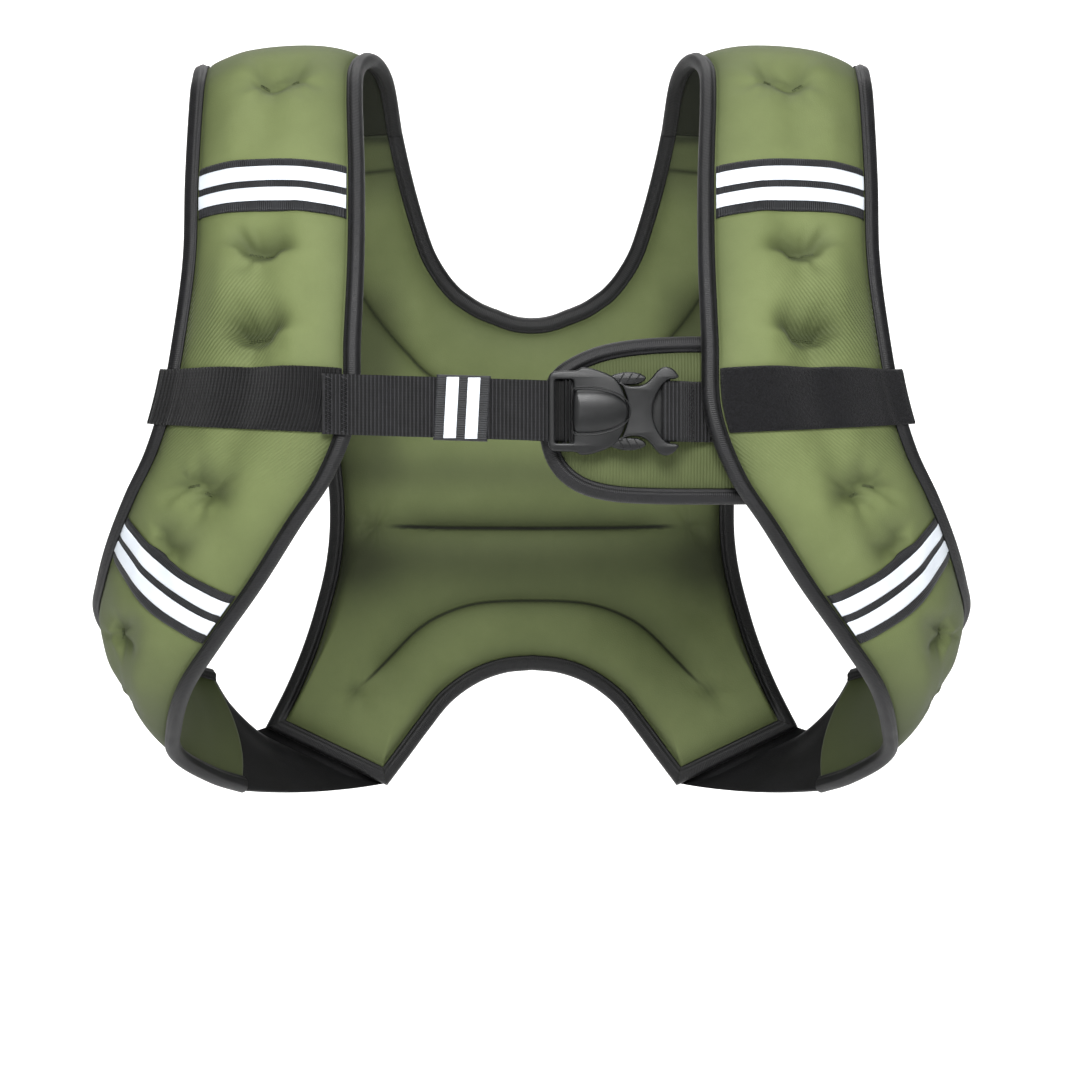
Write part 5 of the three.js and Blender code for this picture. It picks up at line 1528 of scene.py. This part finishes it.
def smooth_line(points, count):
    """A smooth line through points, evenly spaced."""
    rows = {"x": points[:, 0], "z": points[:, 1]}
    at_ = np.linspace(0, len(points) - 1, 900)
    fine = np.stack([column(rows, "x", at_), column(rows, "z", at_)], axis=-1)
    long_ = lengths(fine)
    even = np.linspace(0, long_[-1], count)
    return np.stack([np.interp(even, long_, fine[:, k]) for k in range(2)], axis=-1)


tongue_line = smooth_line(TONGUE * (TONGUE_LONG, TONGUE_HIGH), 150)
core_start = np.array([0.62 * TONGUE_LONG, 0])
core_end = np.array([1.10 * TONGUE_LONG, 0])
core = mix(core_start, core_end, np.abs(np.linspace(1, -1, 150))[:, None] ** 3)
ring_share = 1 - (1 - np.linspace(0, 1, 40)) ** 1.3
inner_line = mix(tongue_line[:, None], core[:, None], ring_share[None, :, None])
depth_in = np.linalg.norm(tongue_line[:, None] - inner_line, axis=-1)
swell = TONGUE_PUFF * (1 - np.exp(-np.maximum(depth_in - 7, 0) / 7))
swell = swell * (1 + 0.05 * ripple(inner_line[..., 0], inner_line[..., 1], 21, 18, 50))
tongue_front = leaned(stack(inner_line[..., 0], -(TONGUE_THICK / 2 + swell), inner_line[..., 1]))
tongue_back = leaned(stack(inner_line[..., 0], (TONGUE_THICK / 2 + swell), inner_line[..., 1]))
quiet = np.zeros_like(depth_in)
# Painted shade near the tongue's edges, where it rolls towards its binding.
tongue_edge_shade = 0.45 * np.exp(-np.maximum(depth_in - 7, 0) / 4)
ribbed = np.full_like(depth_in, 0.5)
parts = slab(tongue_front, tongue_back, inner_line, {"dark": (tongue_edge_shade, tongue_edge_shade), "strain": (ribbed, quiet)})
look = neoprene("tongue_mesh", 0.78, 0, 0.0017)
tongue = piece("tongue", parts, look, "buckle_pad", marks=parts[3])
way = unit(np.gradient(tongue_line, axis=0))
edge = stack(tongue_line[:, 0], 0, tongue_line[:, 1])
into = stack(-way[:, 1], 0, way[:, 0])
parts = sweep(edge, into, np.tile((0.0, -1.0, 0.0), (len(edge), 1)), binding_profile(TONGUE_THICK))
piece("edge_tongue", (leaned(parts[0]), *parts[1:]), BINDING, "binding_buckle_pad")

# Stitches: the tacks in the tufts and the zigzag seams of the chest strap

TACK_RADIUS, SEAM_RADIUS = 0.32, 0.4
THREAD_LIFT = 0.15
ZIGZAG = 1.5
tacks = []
for row, across, _, half, slope in TUFTS:
    if row == PLAIN_TUFT:
        continue
    c, s = way_of(slope)
    q = np.linspace(-half, half, 9)
    for lane in (-0.5, 0.5):
        rows = row_at(long_at(row) - (q * s + lane * c))
        side_at = (across - 0.5) * strap_frame([row])["wide"] + q * c - lane * s
        tacks.append(over_pad(rows, side_at / strap_frame(rows)["wide"] + 0.5, THREAD_LIFT)[:, 0])
for tag, side in SIDES:
    made = joined(f"tacks_{tag}", [tube_mesh(tack * (side, 1, 1), TACK_RADIUS, 6) for tack in tacks], THREAD)
    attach(made, "root")


def zigzag(x0, place):
    """A zigzag of thread across the webbing. place gives the thread's y and the middle of its z at each x."""
    high = np.linspace(ZIGZAG - WEBBING_WIDE / 2, WEBBING_WIDE / 2 - ZIGZAG, 27)
    x = x0 + np.where(np.arange(len(high)) % 2, ZIGZAG, -ZIGZAG)
    y, middle = place(x)
    return tube_mesh(stack(x, y, high + middle), SEAM_RADIUS, 6)


def on_short(x):
    return np.interp(x, [join_x, near_by[0]], [middle_front + 0.1, near_by[1] - 1.6]) - 0.1, BUCKLE_Z


seams = [zigzag(web_start + x, lambda x: (WEB_FRONT - 0.1, hang(x))) for x in (3.5, 12)]
made = joined("zigzag", [*seams, zigzag(join_x + 6, on_short)], BLACK_THREAD)
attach(made, "root")
